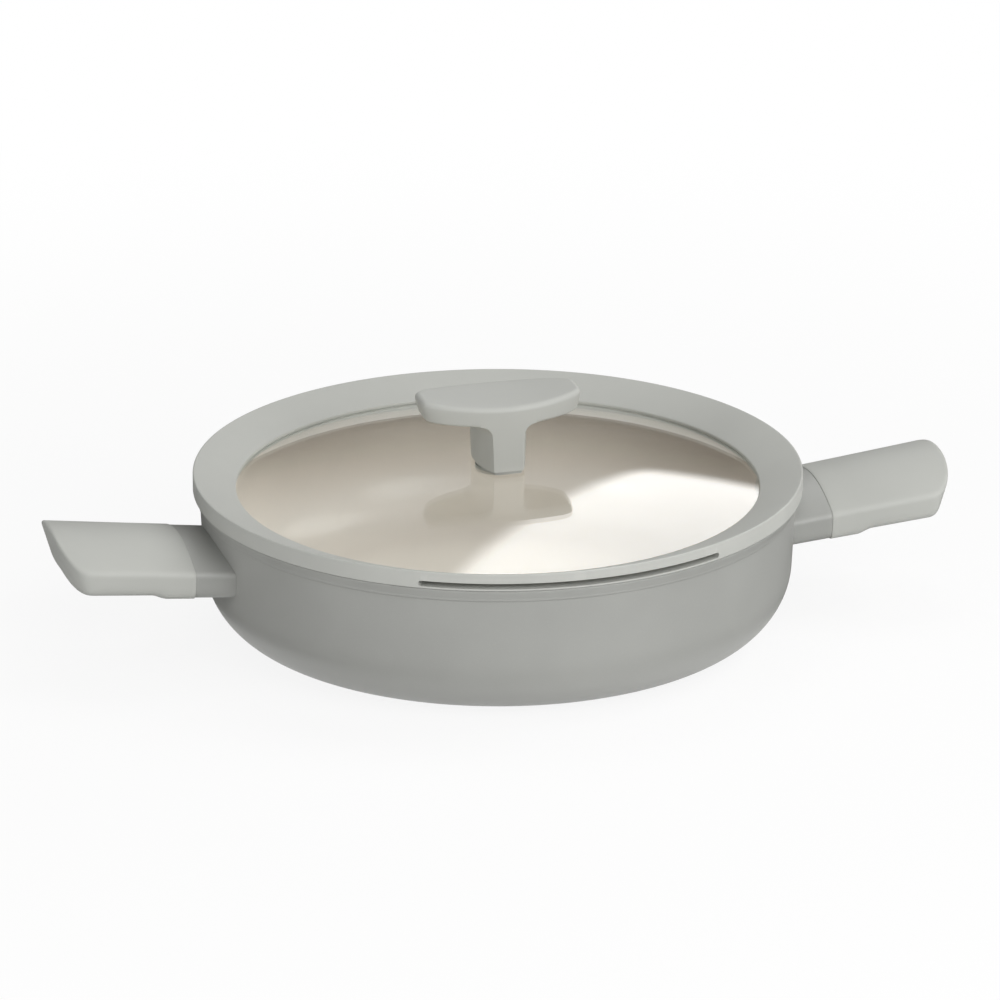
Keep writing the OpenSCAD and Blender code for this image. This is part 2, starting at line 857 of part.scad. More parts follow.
module knob_screw() {
    seat_z = flange_z - grommet_t - washer_t;
    color(steel_colour) {
        translate([0, 0, seat_z]) mirror([0, 0, 1]) screw_head(knob_head_d, knob_head_h);
        translate([0, 0, seat_z]) cylinder(d = screw_d, h = knob_z + insert_l - seat_z);
    }
}

// The left handle is the right one's mirror image
module left() {
    mirror([1, 0, 0]) children();
}

pan_shell();
induction_base();
left() bracket();  // left_bracket
bracket();  // right_bracket
left() rivets();  // left_rivets
rivets();  // right_rivets
left() grip();  // left_grip
grip();  // right_grip
left() grip_screw();  // left_grip_screw
grip_screw();  // right_grip_screw
left() spring_washer();  // left_spring_washer
spring_washer();  // right_spring_washer
lid_rim();
lid_glass();
lid_knob();
knob_insert();
knob_seal();
glass_grommet();
knob_washer();
knob_screw();
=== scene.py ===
"""Looks of a saute pan with a domed glass lid, laid over its packed model.

Lengths are in metres. The handles lie along X, and the slit in the lid's rim faces -Y.
"""

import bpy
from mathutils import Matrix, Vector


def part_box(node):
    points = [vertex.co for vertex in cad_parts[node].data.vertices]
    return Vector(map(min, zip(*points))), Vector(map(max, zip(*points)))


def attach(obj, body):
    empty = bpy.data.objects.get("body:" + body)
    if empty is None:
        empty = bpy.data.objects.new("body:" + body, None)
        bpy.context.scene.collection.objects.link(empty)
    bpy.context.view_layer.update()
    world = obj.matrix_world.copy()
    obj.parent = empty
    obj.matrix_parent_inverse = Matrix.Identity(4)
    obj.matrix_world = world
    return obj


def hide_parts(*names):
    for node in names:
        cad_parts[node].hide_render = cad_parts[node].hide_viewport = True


bl_info = {
    "name": "Saute Pan",
    "version": (1, 0, 0),
    "blender": (4, 5, 0),
    "location": "3D View > Sidebar > Saute Pan",
    "description": "Adds the finished pieces, the materials and the studio of a saute pan with a glass lid",
    "category": "Add Mesh",
}

from math import acos, cos, degrees, pi, radians, sin, sqrt, tan

import bmesh
import bpy
from bpy.props import FloatProperty, FloatVectorProperty, IntProperty, PointerProperty
from mathutils import Matrix, Vector

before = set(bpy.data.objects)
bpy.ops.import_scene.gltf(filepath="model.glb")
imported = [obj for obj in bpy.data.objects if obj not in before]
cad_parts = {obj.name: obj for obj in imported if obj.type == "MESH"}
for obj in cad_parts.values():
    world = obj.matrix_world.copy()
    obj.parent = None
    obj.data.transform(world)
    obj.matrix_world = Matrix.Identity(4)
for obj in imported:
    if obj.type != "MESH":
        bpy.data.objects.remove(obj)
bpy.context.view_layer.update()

# Each lamp's name, direction from the camera's right towards the back and height angle, both in degrees,
# watts, and whether the glass mirrors it.
LAMPS = (
    ("left_light", -140, 15, 10.0, True),
    ("front_light", -75, 35, 7.4, True),
    ("low_light", -50, 14, 11.8, True),
    ("front_right_light", -45, 35, 11.0, True),
    ("right_light", 15, 45, 13.2, False),
    ("back_light", 90, 65, 7.6, False),
)
LAMP_REACH = 2.2
LAMP_SIZE = 1.0
LAMP_AIM = Vector((0, 0, 0.05))

# The floor lies just under the steel disc. It grows from nearly white to white between two distances.
FLOOR_Z = -0.0002
FLOOR_R = 14
FLOOR_SIDES = 96
FLOOR_NEAR_WHITE = 0.88
FLOOR_FADE = (0.3, 0.8)

# The grey surround's inner and outer radius, its foot and top, and the heights between which it grows paler.
SURROUND_R = (0.15, 3.2)
SURROUND_Z = (0.001, 3.4)
SURROUND_FADE = (0.7, 2.0)
SURROUND_SIDES = 48

# The card's distance behind the pan, the share that each soft edge takes, and its corners across and up.
CARD_Y = 1.5
CARD_FADE = (0.13, 0.07)
CARD_CORNERS = ((0.2, 0.57), (0.62, 0.45), (0.62, 1.95), (-0.26, 1.95))
CARD_STEPS = 12

WHITE = (1, 1, 1, 1)
# Points closer than this become one, and a shorter edge or radius counts as none.
SAME_POINT = 2e-6
NO_LENGTH = 1e-7
# Edges that turn by more than this many degrees stay sharp, on a piece and on one that was cut.
SHARP = 38
SHARP_WHEN_CUT = 30
CAP_STEPS = 12


def length(name, description, default):
    """A size in metres."""
    return FloatProperty(
        name=name, description=description, default=default, min=0, unit="LENGTH", precision=4,
    )


def angle(name, description, degrees):
    """An angle, given here in degrees."""
    return FloatProperty(name=name, description=description, default=radians(degrees), subtype="ANGLE")


def number(name, description, default):
    """A share, a strength or another plain number."""
    return FloatProperty(name=name, description=description, default=default, min=0)


def colour(name, description, default):
    """A colour in linear light."""
    return FloatVectorProperty(
        name=name, description=description, default=default, size=3, min=0, max=1, subtype="COLOR",
    )


class PanSettings(bpy.types.PropertyGroup):
    """Sizes of the pan's body"""

    wall_r: length("Wall radius", "Outer radius of the wall just under the collar", 0.1446)
    height: length("Height", "Height of the brim above the hob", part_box("pan_shell")[1][2])
    wall_t: length("Wall", "Thickness of the wall", 0.0036)
    floor_t: length("Floor", "Thickness of the floor", 0.0046)
    wall_lean: angle("Wall lean", "Lean of the wall, inwards on its way down", 3)
    corner_r: length("Corner", "Outer radius of the turn from the wall into the base", 0.0347)
    collar_h: length("Collar height", "Height of the flared collar that takes the lid", 0.0062)
    collar_flare: length("Collar flare", "How far the brim stands out past the wall", 0.0026)
    collar_step: length("Collar step", "Width of the step under the collar", 0.0009)
    brim_t: length("Brim", "Thickness of the collar at its brim", 0.0038)
    base_z: length("Base", "Height of the base above the hob, beside the steel disc", 0.0004)
    disc_r: length("Disc radius", "Radius of the recess for the steel disc", 0.0981)
    disc_t: length("Disc recess", "Height of the recess's roof above the hob", 0.0012)
    turns: IntProperty(name="Segments", description="Segments of each turned piece", default=256, min=64)


class RimSettings(bpy.types.PropertyGroup):
    """Sizes of the lid's soft rim"""

    radius: length("Radius", "Outer radius of the rim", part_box("lid_rim")[1][0])
    low_z: length("Underside", "Height of the foot of the rim's outer side", 0.0712)
    top_z: length("Top", "Height of the rim's outer edge", 0.08)
    width: length("Width", "Width of the rim's top, from its outer side to the window", 0.0209)
    dish: length("Dish", "Drop of the top from its outer edge to the window", 0.0078)
    lip_t: length("Lip", "Thickness of the lips that hold the glass", 0.0012)
    skirt_r: length("Skirt radius", "Outer radius of the skirt", 0.1431)
    skirt_t: length("Skirt", "Thickness of the skirt", 0.0081)
    skirt_h: length("Skirt drop", "Drop of the skirt below the rim's outer side", 0.0088)
    skirt_cut: length("Skirt chamfer", "Chamfer at the skirt's foot, which clears the collar's ledge", 0.0051)
    slit_span: angle("Slit span", "Angle that the pouring slit spans", 59)
    slit_h: length("Slit height", "Height of the slit", 0.0028)
    slit_lip: length("Slit lip", "Thickness of the lip under the slit", 0.001)
    slit_wall: length("Slit turn", "Distance that the slit runs in before it turns down", 0.0032)


class GlassSettings(bpy.types.PropertyGroup):
    """Sizes of the glass"""

    thickness: length("Thickness", "Thickness of the glass", 0.004)
    rise: length("Rise", "Rise of the dome from the window's edge to its middle", 0.0132)
    tuck: length("Tuck", "How far the glass is tucked into the rim", 0.0044)
    hole_r: length("Hole", "Radius of the hole for the knob's screw", 0.005)


class KnobSettings(bpy.types.PropertyGroup):
    """Sizes of the knob"""

    foot_z: length("Foot", "Height of the knob's foot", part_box("lid_knob")[0][2])
    length: length("Length", "Length of the paddle", 0.08)
    width: length("Width", "Width of the paddle in the middle", 0.0412)
    end_w: length("End width", "Width of the paddle's ends", 0.021)
    finger_h: length("Finger gap", "Height of the gap under the paddle", 0.0234)
    paddle_t: length("Paddle", "Thickness of the paddle in the middle", 0.0092)
    saddle: length("Saddle", "Rise of the paddle's top from its middle to its ends", 0.0026)
    under_share: number("Underside rise", "Share of the saddle in the underside", 0.6)
    squareness: number("Squareness", "Squareness of the paddle's corners", 7)
    end_lean: length("End lean", "How far the ends draw in under the top", 0.0018)
    top_round: length("Top edge", "Radius of the paddle's top edge", 0.0026)
    low_round: length("Low edge", "Radius of the paddle's lower edge", 0.0012)
    stem_w: length("Stem", "Width of the stem's faces at the foot", 0.0146)
    stem_draft: length("Draft", "How much wider each side of the face is at the fillet", 0.0006)
    stem_swell: length("Swell", "Swell of each flank in the middle of its depth", 0.0046)
    stem_fillet: length("Fillet", "Radius from the flank into the paddle", 0.006)
    corner: length("Corner", "Rounding of the stem's upright corners", 0.0009)


class HandleSettings(bpy.types.PropertyGroup):
    """Sizes of the two handles"""

    bracket_l: length("Bracket", "Distance from the wall to the grip", 0.0148)
    bracket_inset: length("Bracket inset", "How far the bracket's skin lies inside the grip's", 0.0004)
    grip_l: length("Grip", "Length of the grip", 0.065)
    grip_w: length("Width", "Width of the grip across its top edges", 0.0716)
    grip_h: length("Height", "Height of the grip at its root", 0.0234)
    crown: length("Crown", "Drop from the crest to the edges at the root", 0.0089)
    crest_rise: angle("Crest rise", "Rise of the crest on the way out", 7.9)
    edge_rise: angle("Edge rise", "Rise of the edges on the way out", 5.9)
    under_rise: angle("Underside rise", "Rise of the underside on the way out", 5.2)
    flank_lean: length("Flank lean", "How far each flank leans in", 0.0016)
    tip_lean: length("Tip lean", "How far the tip leans in", 0.007)
    nose_l: length("Nose", "Length of the rounded nose", 0.0155)
    squareness: number("Nose squareness", "2 is an ellipse, and more is blunter", 2.6)
    boss_l: length("Boss", "Length of the thicker boss under the root", 0.0134)
    boss_ramp: length("Boss ramp", "Length of the ramp behind the boss", 0.0078)
    boss_step: length("Boss step", "Depth of the step behind the boss", 0.0018)
    drop: length("Drop", "Drop from the collar to the crest at the wall", 0.0047)
    edge_round: length("Top edge", "Rounding of the top's edges", 0.0026)
    under_round: length("Low edge", "Rounding of the underside's edges", 0.006)


class FinishSettings(bpy.types.PropertyGroup):
    """Colours of the finishes, in linear light"""

    soft: colour("Soft touch", "Moulded grips, knob and rim", (0.45, 0.456, 0.428))
    coating: colour("Coating", "Satin coat on the outside and the brackets", (0.342, 0.3455, 0.3275))
    ceramic: colour("Ceramic", "Ceramic coat inside the pan", (0.83, 0.742, 0.668))
    steel: colour("Steel", "Fasteners and washers", (0.58, 0.58, 0.57))
    brass: colour("Brass", "Threaded insert in the knob", (0.62, 0.44, 0.19))
    silicone: colour("Silicone", "Seal and bush", (0.36, 0.365, 0.347))
    glass: colour("Glass", "Tint of the glass", (0.955, 0.975, 0.962))


class StudioSettings(bpy.types.PropertyGroup):
    """Camera and light"""

    distance: length("Camera distance", "Distance of the camera from its target", 5)
    lens: FloatProperty(name="Focal length", description="Focal length in millimetres", default=370.73, min=1)
    side: angle("Side", "Turn of the camera round the pan", -15.3)
    elevation: angle("Elevation", "Height of the camera above the horizon", 19.9)
    roll: angle("Roll", "Roll of the camera", -0.04)
    target_x: length("Target across", "Shift of the target to the camera's right", 0.00105)
    target_z: length("Target height", "Height of the target", 0.0636)
    light: number("Light", "Power of the lamps, as a share of LAMPS", 1)
    sky: number("Sky", "Strength of the world on the object", 0.3)
    card_low: number("Card, low", "Strength of the white card at its lower edge", 2.6)
    card_high: number("Card, high", "Strength of the white card at its top", 3.7)
    flag_low: number("Flag, low", "Strength of the grey surround at the floor", 0.04)
    flag_high: number("Flag, high", "Strength of the grey surround at its top", 0.55)


# Shapes


def bend(a, corner, b, steps):
    """Points on the way from a to b, round a corner."""
    out = []
    for k in range(steps + 1):
        t = k / steps
        out.append(a * (1 - t) ** 2 + corner * (2 * t * (1 - t)) + b * t ** 2)
    return out


def between(a, b, steps):
    """Points on the straight way from a to b, without its ends."""
    return [a.lerp(b, k / steps) for k in range(1, steps)]


def arc(middle, radius, start, end, steps):
    """Points of an arc in the (radius, height) plane, with angles in degrees from the horizontal."""
    out = []
    for k in range(steps + 1):
        a = radians(start + (end - start) * k / steps)
        out.append(Vector((middle[0] + radius * cos(a), middle[1] + radius * sin(a))))
    return out


def rounded(corners, steps=5):
    """Closed outline of (radius, height, leg) corners.

    A leg is how far a corner's rounding reaches along each side.
    """
    out = []
    for i, (r, z, leg) in enumerate(corners):
        here = Vector((r, z))
        if not leg:
            out.append(here)
            continue
        back = Vector(corners[i - 1][:2]) - here
        ahead = Vector(corners[(i + 1) % len(corners)][:2]) - here
        out += bend(here + back.normalized() * leg, here, here + ahead.normalized() * leg, steps)
    return out


def turned(outline, turns, closed, start=0.0, sweep=2 * pi):
    """Vertices and faces of an outline turned about Z. An open outline starts and ends on the axis."""
    whole = sweep == 2 * pi
    rows = turns if whole else turns + 1
    verts, faces, rings = [], [], []
    for r, z in outline:
        if r < NO_LENGTH:
            rings.append([len(verts)] * rows)
            verts.append((0, 0, z))
            continue
        rings.append(list(range(len(verts), len(verts) + rows)))
        for k in range(rows):
            a = start + sweep * k / turns
            verts.append((r * cos(a), r * sin(a), z))
    for near, far in zip(rings, rings[1:] + rings[:1] if closed else rings[1:]):
        for k in range(turns):
            m = (k + 1) % rows
            add_face(faces, near[k], near[m], far[m], far[k])
    if not whole:
        faces.append([ring[0] for ring in rings])
        faces.append([ring[-1] for ring in reversed(rings)])
    return verts, faces


def add_face(faces, *corners):
    """Adds a face, unless it has shrunk to an edge."""
    unique = list(dict.fromkeys(corners))
    if len(unique) > 2:
        faces.append(unique)


def skinned(rings, cap_last=True, seat=None):
    """Vertices and faces over rings of equal counts. Each ring is symmetric across Y about its first point.

    The ends are closed by rows of faces across Y. seat(point) moves the first end's points in X.
    """
    n = len(rings[0])
    verts = [Vector(p) for ring in rings for p in ring]
    faces = []
    for a in range(0, len(verts) - n, n):
        for i in range(n):
            j = (i + 1) % n
            faces.append([a + i, a + j, a + n + j, a + n + i])
    ends = [(0, seat)]
    if cap_last:
        ends.append((len(verts) - n, None))
    for base, moved in ends:
        rows = []
        for i in range(n // 2 + 1):
            across = (n - i) % n
            if across == i:
                rows.append([base + i] * (CAP_STEPS + 1))
                continue
            inner = between(verts[base + i], verts[base + across], CAP_STEPS)
            for point in inner:
                if moved:
                    point.x = moved(point)
            rows.append([base + i, *range(len(verts), len(verts) + len(inner)), base + across])
            verts += inner
        for near, far in zip(rows, rows[1:]):
            for k in range(CAP_STEPS):
                add_face(faces, near[k], near[k + 1], far[k + 1], far[k])
    return verts, faces


def linked(name, data):
    """A new object in the scene."""
    made = bpy.data.objects.new(name, data)
    bpy.context.scene.collection.objects.link(made)
    return made


def fit(made, body, node, slot):
    """Rides a piece on a body, in place of a CAD node, which it hides. Its slot is not used."""
    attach(made, body)
    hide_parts(node)


def piece(name, shape, materials=(), place=None, mirrored=False):
    """A smooth piece from vertices and faces. Its place is the body, node and slot that fit() takes."""
    verts, faces = shape
    mesh = bpy.data.meshes.new(name)
    mesh.from_pydata([tuple(v) for v in verts], [], faces)
    work = bmesh.new()
    work.from_mesh(mesh)
    if mirrored:
        bmesh.ops.scale(work, vec=(-1, 1, 1), verts=work.verts)
    bmesh.ops.remove_doubles(work, verts=work.verts, dist=SAME_POINT)
    bmesh.ops.dissolve_degenerate(work, edges=work.edges, dist=NO_LENGTH)
    bmesh.ops.recalc_face_normals(work, faces=work.faces)
    work.to_mesh(mesh)
    work.free()
    made = linked(name, mesh)
    for material in materials:
        mesh.materials.append(material)
    smooth(mesh, SHARP)
    if place:
        fit(made, *place)
    return made


def smooth(mesh, sharp):
    """Shades a mesh smooth, but keeps edges that turn by more than an angle in degrees."""
    mesh.shade_smooth()
    mesh.set_sharp_from_angle(angle=radians(sharp))


def carve(target, cutters):
    """Cuts each cutter's shape out of a piece, and drops the cutters."""
    for cutter in cutters:
        step = target.modifiers.new("Cut", "BOOLEAN")
        step.operation = "DIFFERENCE"
        step.solver = "EXACT"
        step.object = cutter
    graph = bpy.context.evaluated_depsgraph_get()
    cut = bpy.data.meshes.new_from_object(target.evaluated_get(graph), depsgraph=graph)
    if not cut.polygons:
        raise RuntimeError("the cut left nothing of " + target.name)
    target.modifiers.clear()
    target.data = cut
    for cutter in cutters:
        bpy.data.objects.remove(cutter)


# Finishes


def wire(tree, kind, inputs=None, **settings):
    """A shader node with its settings, and its sockets set or linked."""
    made = tree.nodes.new("ShaderNode" + kind)
    for key, value in settings.items():
        setattr(made, key, value)
    for key, value in (inputs or {}).items():
        if isinstance(value, bpy.types.NodeSocket):
            tree.links.new(value, made.inputs[key])
        else:
            made.inputs[key].default_value = value
    return made


def maths(tree, operation, *values):
    """The value of a Math node."""
    return wire(tree, "Math", dict(enumerate(values)), operation=operation).outputs[0]


def spread(tree, value, low, high, span=(0.0, 1.0), soft=False):
    """A value that runs over a span, spread between two others."""
    inputs = {"Value": value, "From Min": span[0], "From Max": span[1], "To Min": low, "To Max": high}
    ease = "SMOOTHSTEP" if soft else "LINEAR"
    return wire(tree, "MapRange", inputs, interpolation_type=ease).outputs["Result"]


def object_place(tree):
    """Each point's place on its object."""
    return wire(tree, "TexCoord").outputs["Object"]


def noise(tree, place, scale, detail, rough=0.5):
    """Noise from 0 to 1."""
    inputs = {"Vector": place, "Scale": scale, "Detail": detail, "Roughness": rough}
    return wire(tree, "TexNoise", inputs).outputs["Fac"]


def build_grain(tree, given):
    """Fine moulded grain with a slow mottle under it."""
    place = object_place(tree)
    fine = noise(tree, place, given["Scale"], 3.0, 0.6)
    slow = noise(tree, place, given["Mottle Scale"], 2.0)
    return {"Height": fine, "Mottle": spread(tree, slow, 0.0, 1.0, (0.25, 0.75), soft=True)}


def build_edge_highlight(tree, given):
    """Mask of outer edges for a painted highlight, broken up so that it isn't an even line."""
    edge = wire(tree, "NewGeometry").outputs["Pointiness"]
    mask = spread(tree, edge, 0.0, 1.0, (given["Start"], given["Full"]))
    broken = spread(tree, noise(tree, object_place(tree), 90.0, 4.0), 0.0, 1.0, (0.35, 0.6))
    return {"Mask": maths(tree, "MULTIPLY", mask, maths(tree, "MULTIPLY_ADD", broken, 0.6, 0.5))}


def build_flecks(tree, given):
    """Sparse dots of the coat's mineral filler."""
    cells = wire(tree, "TexVoronoi", {"Vector": object_place(tree), "Scale": given["Scale"]}).outputs
    dot = spread(tree, cells["Distance"], 0.0, 1.0, (given["Size"], 0.02))
    pick = wire(tree, "SeparateColor", {"Color": cells["Color"]}).outputs["Red"]
    return {"Mask": maths(tree, "MULTIPLY", dot, maths(tree, "GREATER_THAN", pick, given["Rarity"]))}


def build_lathe(tree, given):
    """Rings left by turning, about an upright axis through a centre."""
    local = wire(tree, "VectorMath", {0: object_place(tree), 1: given["Centre"]}, operation="SUBTRACT")
    parts = wire(tree, "SeparateXYZ", {"Vector": local.outputs["Vector"]}).outputs
    flat = wire(tree, "CombineXYZ", {"X": parts["X"], "Y": parts["Y"]}).outputs["Vector"]
    out = wire(tree, "VectorMath", {0: flat}, operation="LENGTH").outputs["Value"]
    across = wire(tree, "CombineXYZ", {"X": out, "Y": parts["Z"]}).outputs["Vector"]
    return {"Height": noise(tree, across, given["Scale"], 4.0, 0.7)}


# Effects that the materials share: the group's name, its inputs, its outputs and what builds it.
GRAIN = ("Moulded grain", {"Scale": 1800.0, "Mottle Scale": 30.0}, ("Height", "Mottle"), build_grain)
# The edge group paints a highlight: it makes convex edges paler in colour, as if they caught the light.
EDGE_HIGHLIGHT = ("Painted edge highlight", {"Start": 0.51, "Full": 0.58}, ("Mask",), build_edge_highlight)
FLECKS = ("Flecks", {"Scale": 700.0, "Size": 0.3, "Rarity": 0.6}, ("Mask",), build_flecks)
LATHE = ("Turned lines", {"Scale": 3000.0, "Centre": (0.0, 0.0, 0.0)}, ("Height",), build_lathe)


def placed(tree, effect, inputs=None):
    """The outputs of an effect's node group in a material. The group itself is built once."""
    name, given, results, build = effect
    group = bpy.data.node_groups.get(name)
    if not group:
        group = bpy.data.node_groups.new(name, "ShaderNodeTree")
        for label, default in given.items():
            kind = "NodeSocketFloat" if isinstance(default, float) else "NodeSocketVector"
            group.interface.new_socket(name=label, in_out="INPUT", socket_type=kind).default_value = default
        for label in results:
            group.interface.new_socket(name=label, in_out="OUTPUT", socket_type="NodeSocketFloat")
        source = group.nodes.new("NodeGroupInput")
        sink = group.nodes.new("NodeGroupOutput")
        for label, socket in build(group, source.outputs).items():
            group.links.new(socket, sink.inputs[label])
    return wire(tree, "Group", inputs, node_tree=group).outputs


def shade(base, factor):
    """A linear colour, lighter or darker."""
    return tuple(min(1.0, c * factor) for c in base) + (1.0,)


def mixed(tree, share, a, b):
    """The colour between a and b."""
    return wire(tree, "Mix", {0: share, 6: a, 7: b}, data_type="RGBA").outputs[2]


def mottled(tree, grain, base, shades):
    """A colour that the grain's mottle takes from one shade to another."""
    return mixed(tree, grain["Mottle"], *(shade(base, factor) for factor in shades))


def bumped(tree, height, strength, distance):
    """The normal of a Bump node."""
    inputs = {"Height": height, "Strength": strength, "Distance": distance}
    return wire(tree, "Bump", inputs).outputs["Normal"]


def fresh_material(name):
    """A node material with an empty tree."""
    made = bpy.data.materials.new(name)
    made.use_nodes = True
    made.node_tree.nodes.clear()
    return made, made.node_tree


def either(tree, share, a, b):
    """The shader node between a and b."""
    return wire(tree, "MixShader", {0: share, 1: a.outputs[0], 2: b.outputs[0]})


def show(tree, shader, output="OutputMaterial"):
    """Gives a tree's output a shader node."""
    tree.links.new(shader.outputs[0], wire(tree, output).inputs[0])


def skin(name, build):
    """A material with one Principled shader, made once. build(tree) gives the shader's sockets."""
    made = bpy.data.materials.get(name)
    if not made:
        made, tree = fresh_material(name)
        show(tree, wire(tree, "BsdfPrincipled", build(tree)))
    return made


def grained(name, base, shades, rough, grain, bump, marks=(), sockets=None):
    """A grained finish, mottled in its colour by two shades and in its roughness, with marks and painted
    highlights laid over it.

    A mark is an effect, its inputs, its strength and its shade.
    """
    def build(tree):
        look = placed(tree, GRAIN, grain)
        tone = mottled(tree, look, base, shades)
        for effect, inputs, strength, factor in marks:
            mask = maths(tree, "MULTIPLY", placed(tree, effect, inputs)["Mask"], strength)
            tone = mixed(tree, mask, tone, shade(base, factor))
        return {
            "Base Color": tone,
            "Roughness": spread(tree, look["Mottle"], *rough),
            "Normal": bumped(tree, look["Height"], *bump),
            **(sockets or {}),
        }
    return skin(name, build)


def soft_touch(name, base, scale, rough):
    """Moulded soft-touch plastic: matt and finely grained, with a painted highlight that makes its edges
    slightly paler.
    """
    return grained(
        name, base, shades=(0.975, 1.02), rough=(rough - 0.03, rough + 0.04),
        grain={"Scale": scale}, bump=(0.35, 0.00006),
        # Painted highlight: the edges are made paler in colour.
        marks=[(EDGE_HIGHLIGHT, {}, 0.5, 1.16)],
        sockets={"Sheen Weight": 0.06, "Sheen Roughness": 0.45},
    )


def coat(name, base, rough, fleck_strength):
    """Sprayed satin coat with fine mineral flecks, and a painted highlight that makes its edges paler."""
    return grained(
        name, base, shades=(0.97, 1.03), rough=(rough - 0.03, rough + 0.05),
        grain={"Scale": 1400.0, "Mottle Scale": 22.0}, bump=(0.3, 0.00005),
        marks=[
            (FLECKS, {"Scale": 900.0, "Rarity": 0.55}, fleck_strength, 1.35),
            # Painted highlight: the edges are made paler in colour.
            (EDGE_HIGHLIGHT, {"Start": 0.52, "Full": 0.6}, 0.4, 1.2),
        ],
    )


def ceramic(name, base):
    """Smooth ceramic coat inside the pan, with faint flecks."""
    return grained(
        name, base, shades=(0.98, 1.02), rough=(0.29, 0.34),
        grain={"Scale": 500.0, "Mottle Scale": 14.0}, bump=(0.12, 0.00008),
        marks=[(FLECKS, {"Scale": 520.0, "Size": 0.22, "Rarity": 0.72}, 0.12, 0.7)],
        sockets={"Coat Weight": 0.2, "Coat Roughness": 0.12},
    )


def soft_seal(name, base):
    """Smooth silicone with a little dust in its grain."""
    return grained(
        name, base, shades=(0.92, 1.06), rough=(0.45, 0.58),
        grain={"Scale": 1200.0, "Mottle Scale": 80.0}, bump=(0.25, 0.00004),
        sockets={"Subsurface Weight": 0.1, "Subsurface Radius": (0.001, 0.001, 0.001)},
    )


def turned_metal(name, base, rough, scale, centre=(0.0, 0.0, 0.0)):
    """Turned or rolled metal."""
    def build(tree):
        lines = placed(tree, LATHE, {"Scale": scale, "Centre": centre})["Height"]
        return {
            "Base Color": mottled(tree, placed(tree, GRAIN, {"Mottle Scale": 60.0}), base, (0.93, 1.04)),
            "Metallic": 1.0,
            "Roughness": spread(tree, lines, rough - 0.08, rough + 0.1),
            "Normal": bumped(tree, lines, 0.35, 0.00004),
        }
    return skin(name, build)


def clear_glass(name, tint):
    """Tempered glass. It lets lamps and soft light straight through, as a thin sheet does."""
    made, tree = fresh_material(name)
    body = wire(tree, "BsdfPrincipled", {
        "Base Color": mottled(tree, placed(tree, GRAIN, {"Mottle Scale": 9.0}), tint, (0.992, 1.0)),
        "Roughness": 0.0,
        "IOR": 1.5,
        "Transmission Weight": 1.0,
    })
    through = wire(tree, "BsdfTransparent", {"Color": shade(tint, 0.97)})
    path = wire(tree, "LightPath").outputs
    share = maths(tree, "MAXIMUM", path["Is Shadow Ray"], path["Is Diffuse Ray"])
    show(tree, either(tree, share, body, through))
    return made


def finish_node(name, material):
    """Gives a CAD node that stays its material, in every slot."""
    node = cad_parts[name]
    if not node.material_slots:
        raise RuntimeError(name + " has no material slot")
    for holder in node.material_slots:
        holder.material = material


# Pieces


def add_vessel(s, look):
    """The pan's coated shell, turned from its outline."""
    collar_z = s.height - s.collar_h
    brim_r = s.wall_r + s.collar_flare
    bore_r = brim_r - s.brim_t
    inner_r = s.wall_r - s.wall_t
    lean = tan(s.wall_lean)
    brim_round = 0.0007
    turn_steps, wall_steps, bead_steps, collar_steps, brim_steps, floor_steps = 28, 8, 8, 4, 5, 6

    def bowl(top_r, low_z, turn_r):
        """Arc of the turn from the flat into the wall."""
        flat = top_r - (collar_z - low_z - turn_r) * lean - turn_r / cos(s.wall_lean)
        return arc((flat, low_z + turn_r), turn_r, -90, -degrees(s.wall_lean), turn_steps)

    outline = [Vector(p) for p in ((0, s.disc_t), (s.disc_r, s.disc_t), (s.disc_r, s.base_z))]
    outline += bowl(s.wall_r, s.base_z, s.corner_r)
    wall_top = Vector((s.wall_r, collar_z))
    outline += between(outline[-1], wall_top, wall_steps) + [wall_top]
    outline += arc((s.wall_r, collar_z + s.collar_step), s.collar_step, -80, 10, bead_steps)
    side, top = Vector((brim_r, s.height - brim_round)), Vector((brim_r - brim_round, s.height))
    outline += between(outline[-1], side, collar_steps)
    outline += bend(side, Vector((brim_r, s.height)), top, brim_steps)
    side, top = Vector((bore_r, s.height - brim_round)), Vector((bore_r + brim_round, s.height))
    outline += bend(top, Vector((bore_r, s.height)), side, brim_steps)
    # The ledge that takes the lid, and its soft edge down to the wall.
    outline += [Vector((bore_r, collar_z)), Vector((inner_r + 0.0006, collar_z))]
    outline += [Vector((inner_r + 0.0002, collar_z - 0.0002)), Vector((inner_r - 0.0001, collar_z - 0.001))]
    turn = bowl(inner_r, s.base_z + s.floor_t, s.corner_r - s.wall_t)
    outline += between(outline[-1], turn[-1], wall_steps) + turn[::-1]
    outline += [Vector((turn[0].x * (1 - k / floor_steps), turn[0].y)) for k in range(1, floor_steps + 1)]
    shell = piece(
        "pan_body", turned(outline, s.turns, False),
        [coat("pan_coat", look.coating, 0.42, 0.22), ceramic("pan_ceramic", look.ceramic)],
        ("pan", "pan_shell", "pan_coating"),
    )
    for face in shell.data.polygons:
        out = Vector((face.center.x, face.center.y, 0))
        looks_in = face.normal.z > face.normal.dot(out.normalized())
        if looks_in and out.length < bore_r + brim_round and face.center.z > s.base_z + s.floor_t / 2:
            face.material_index = 1


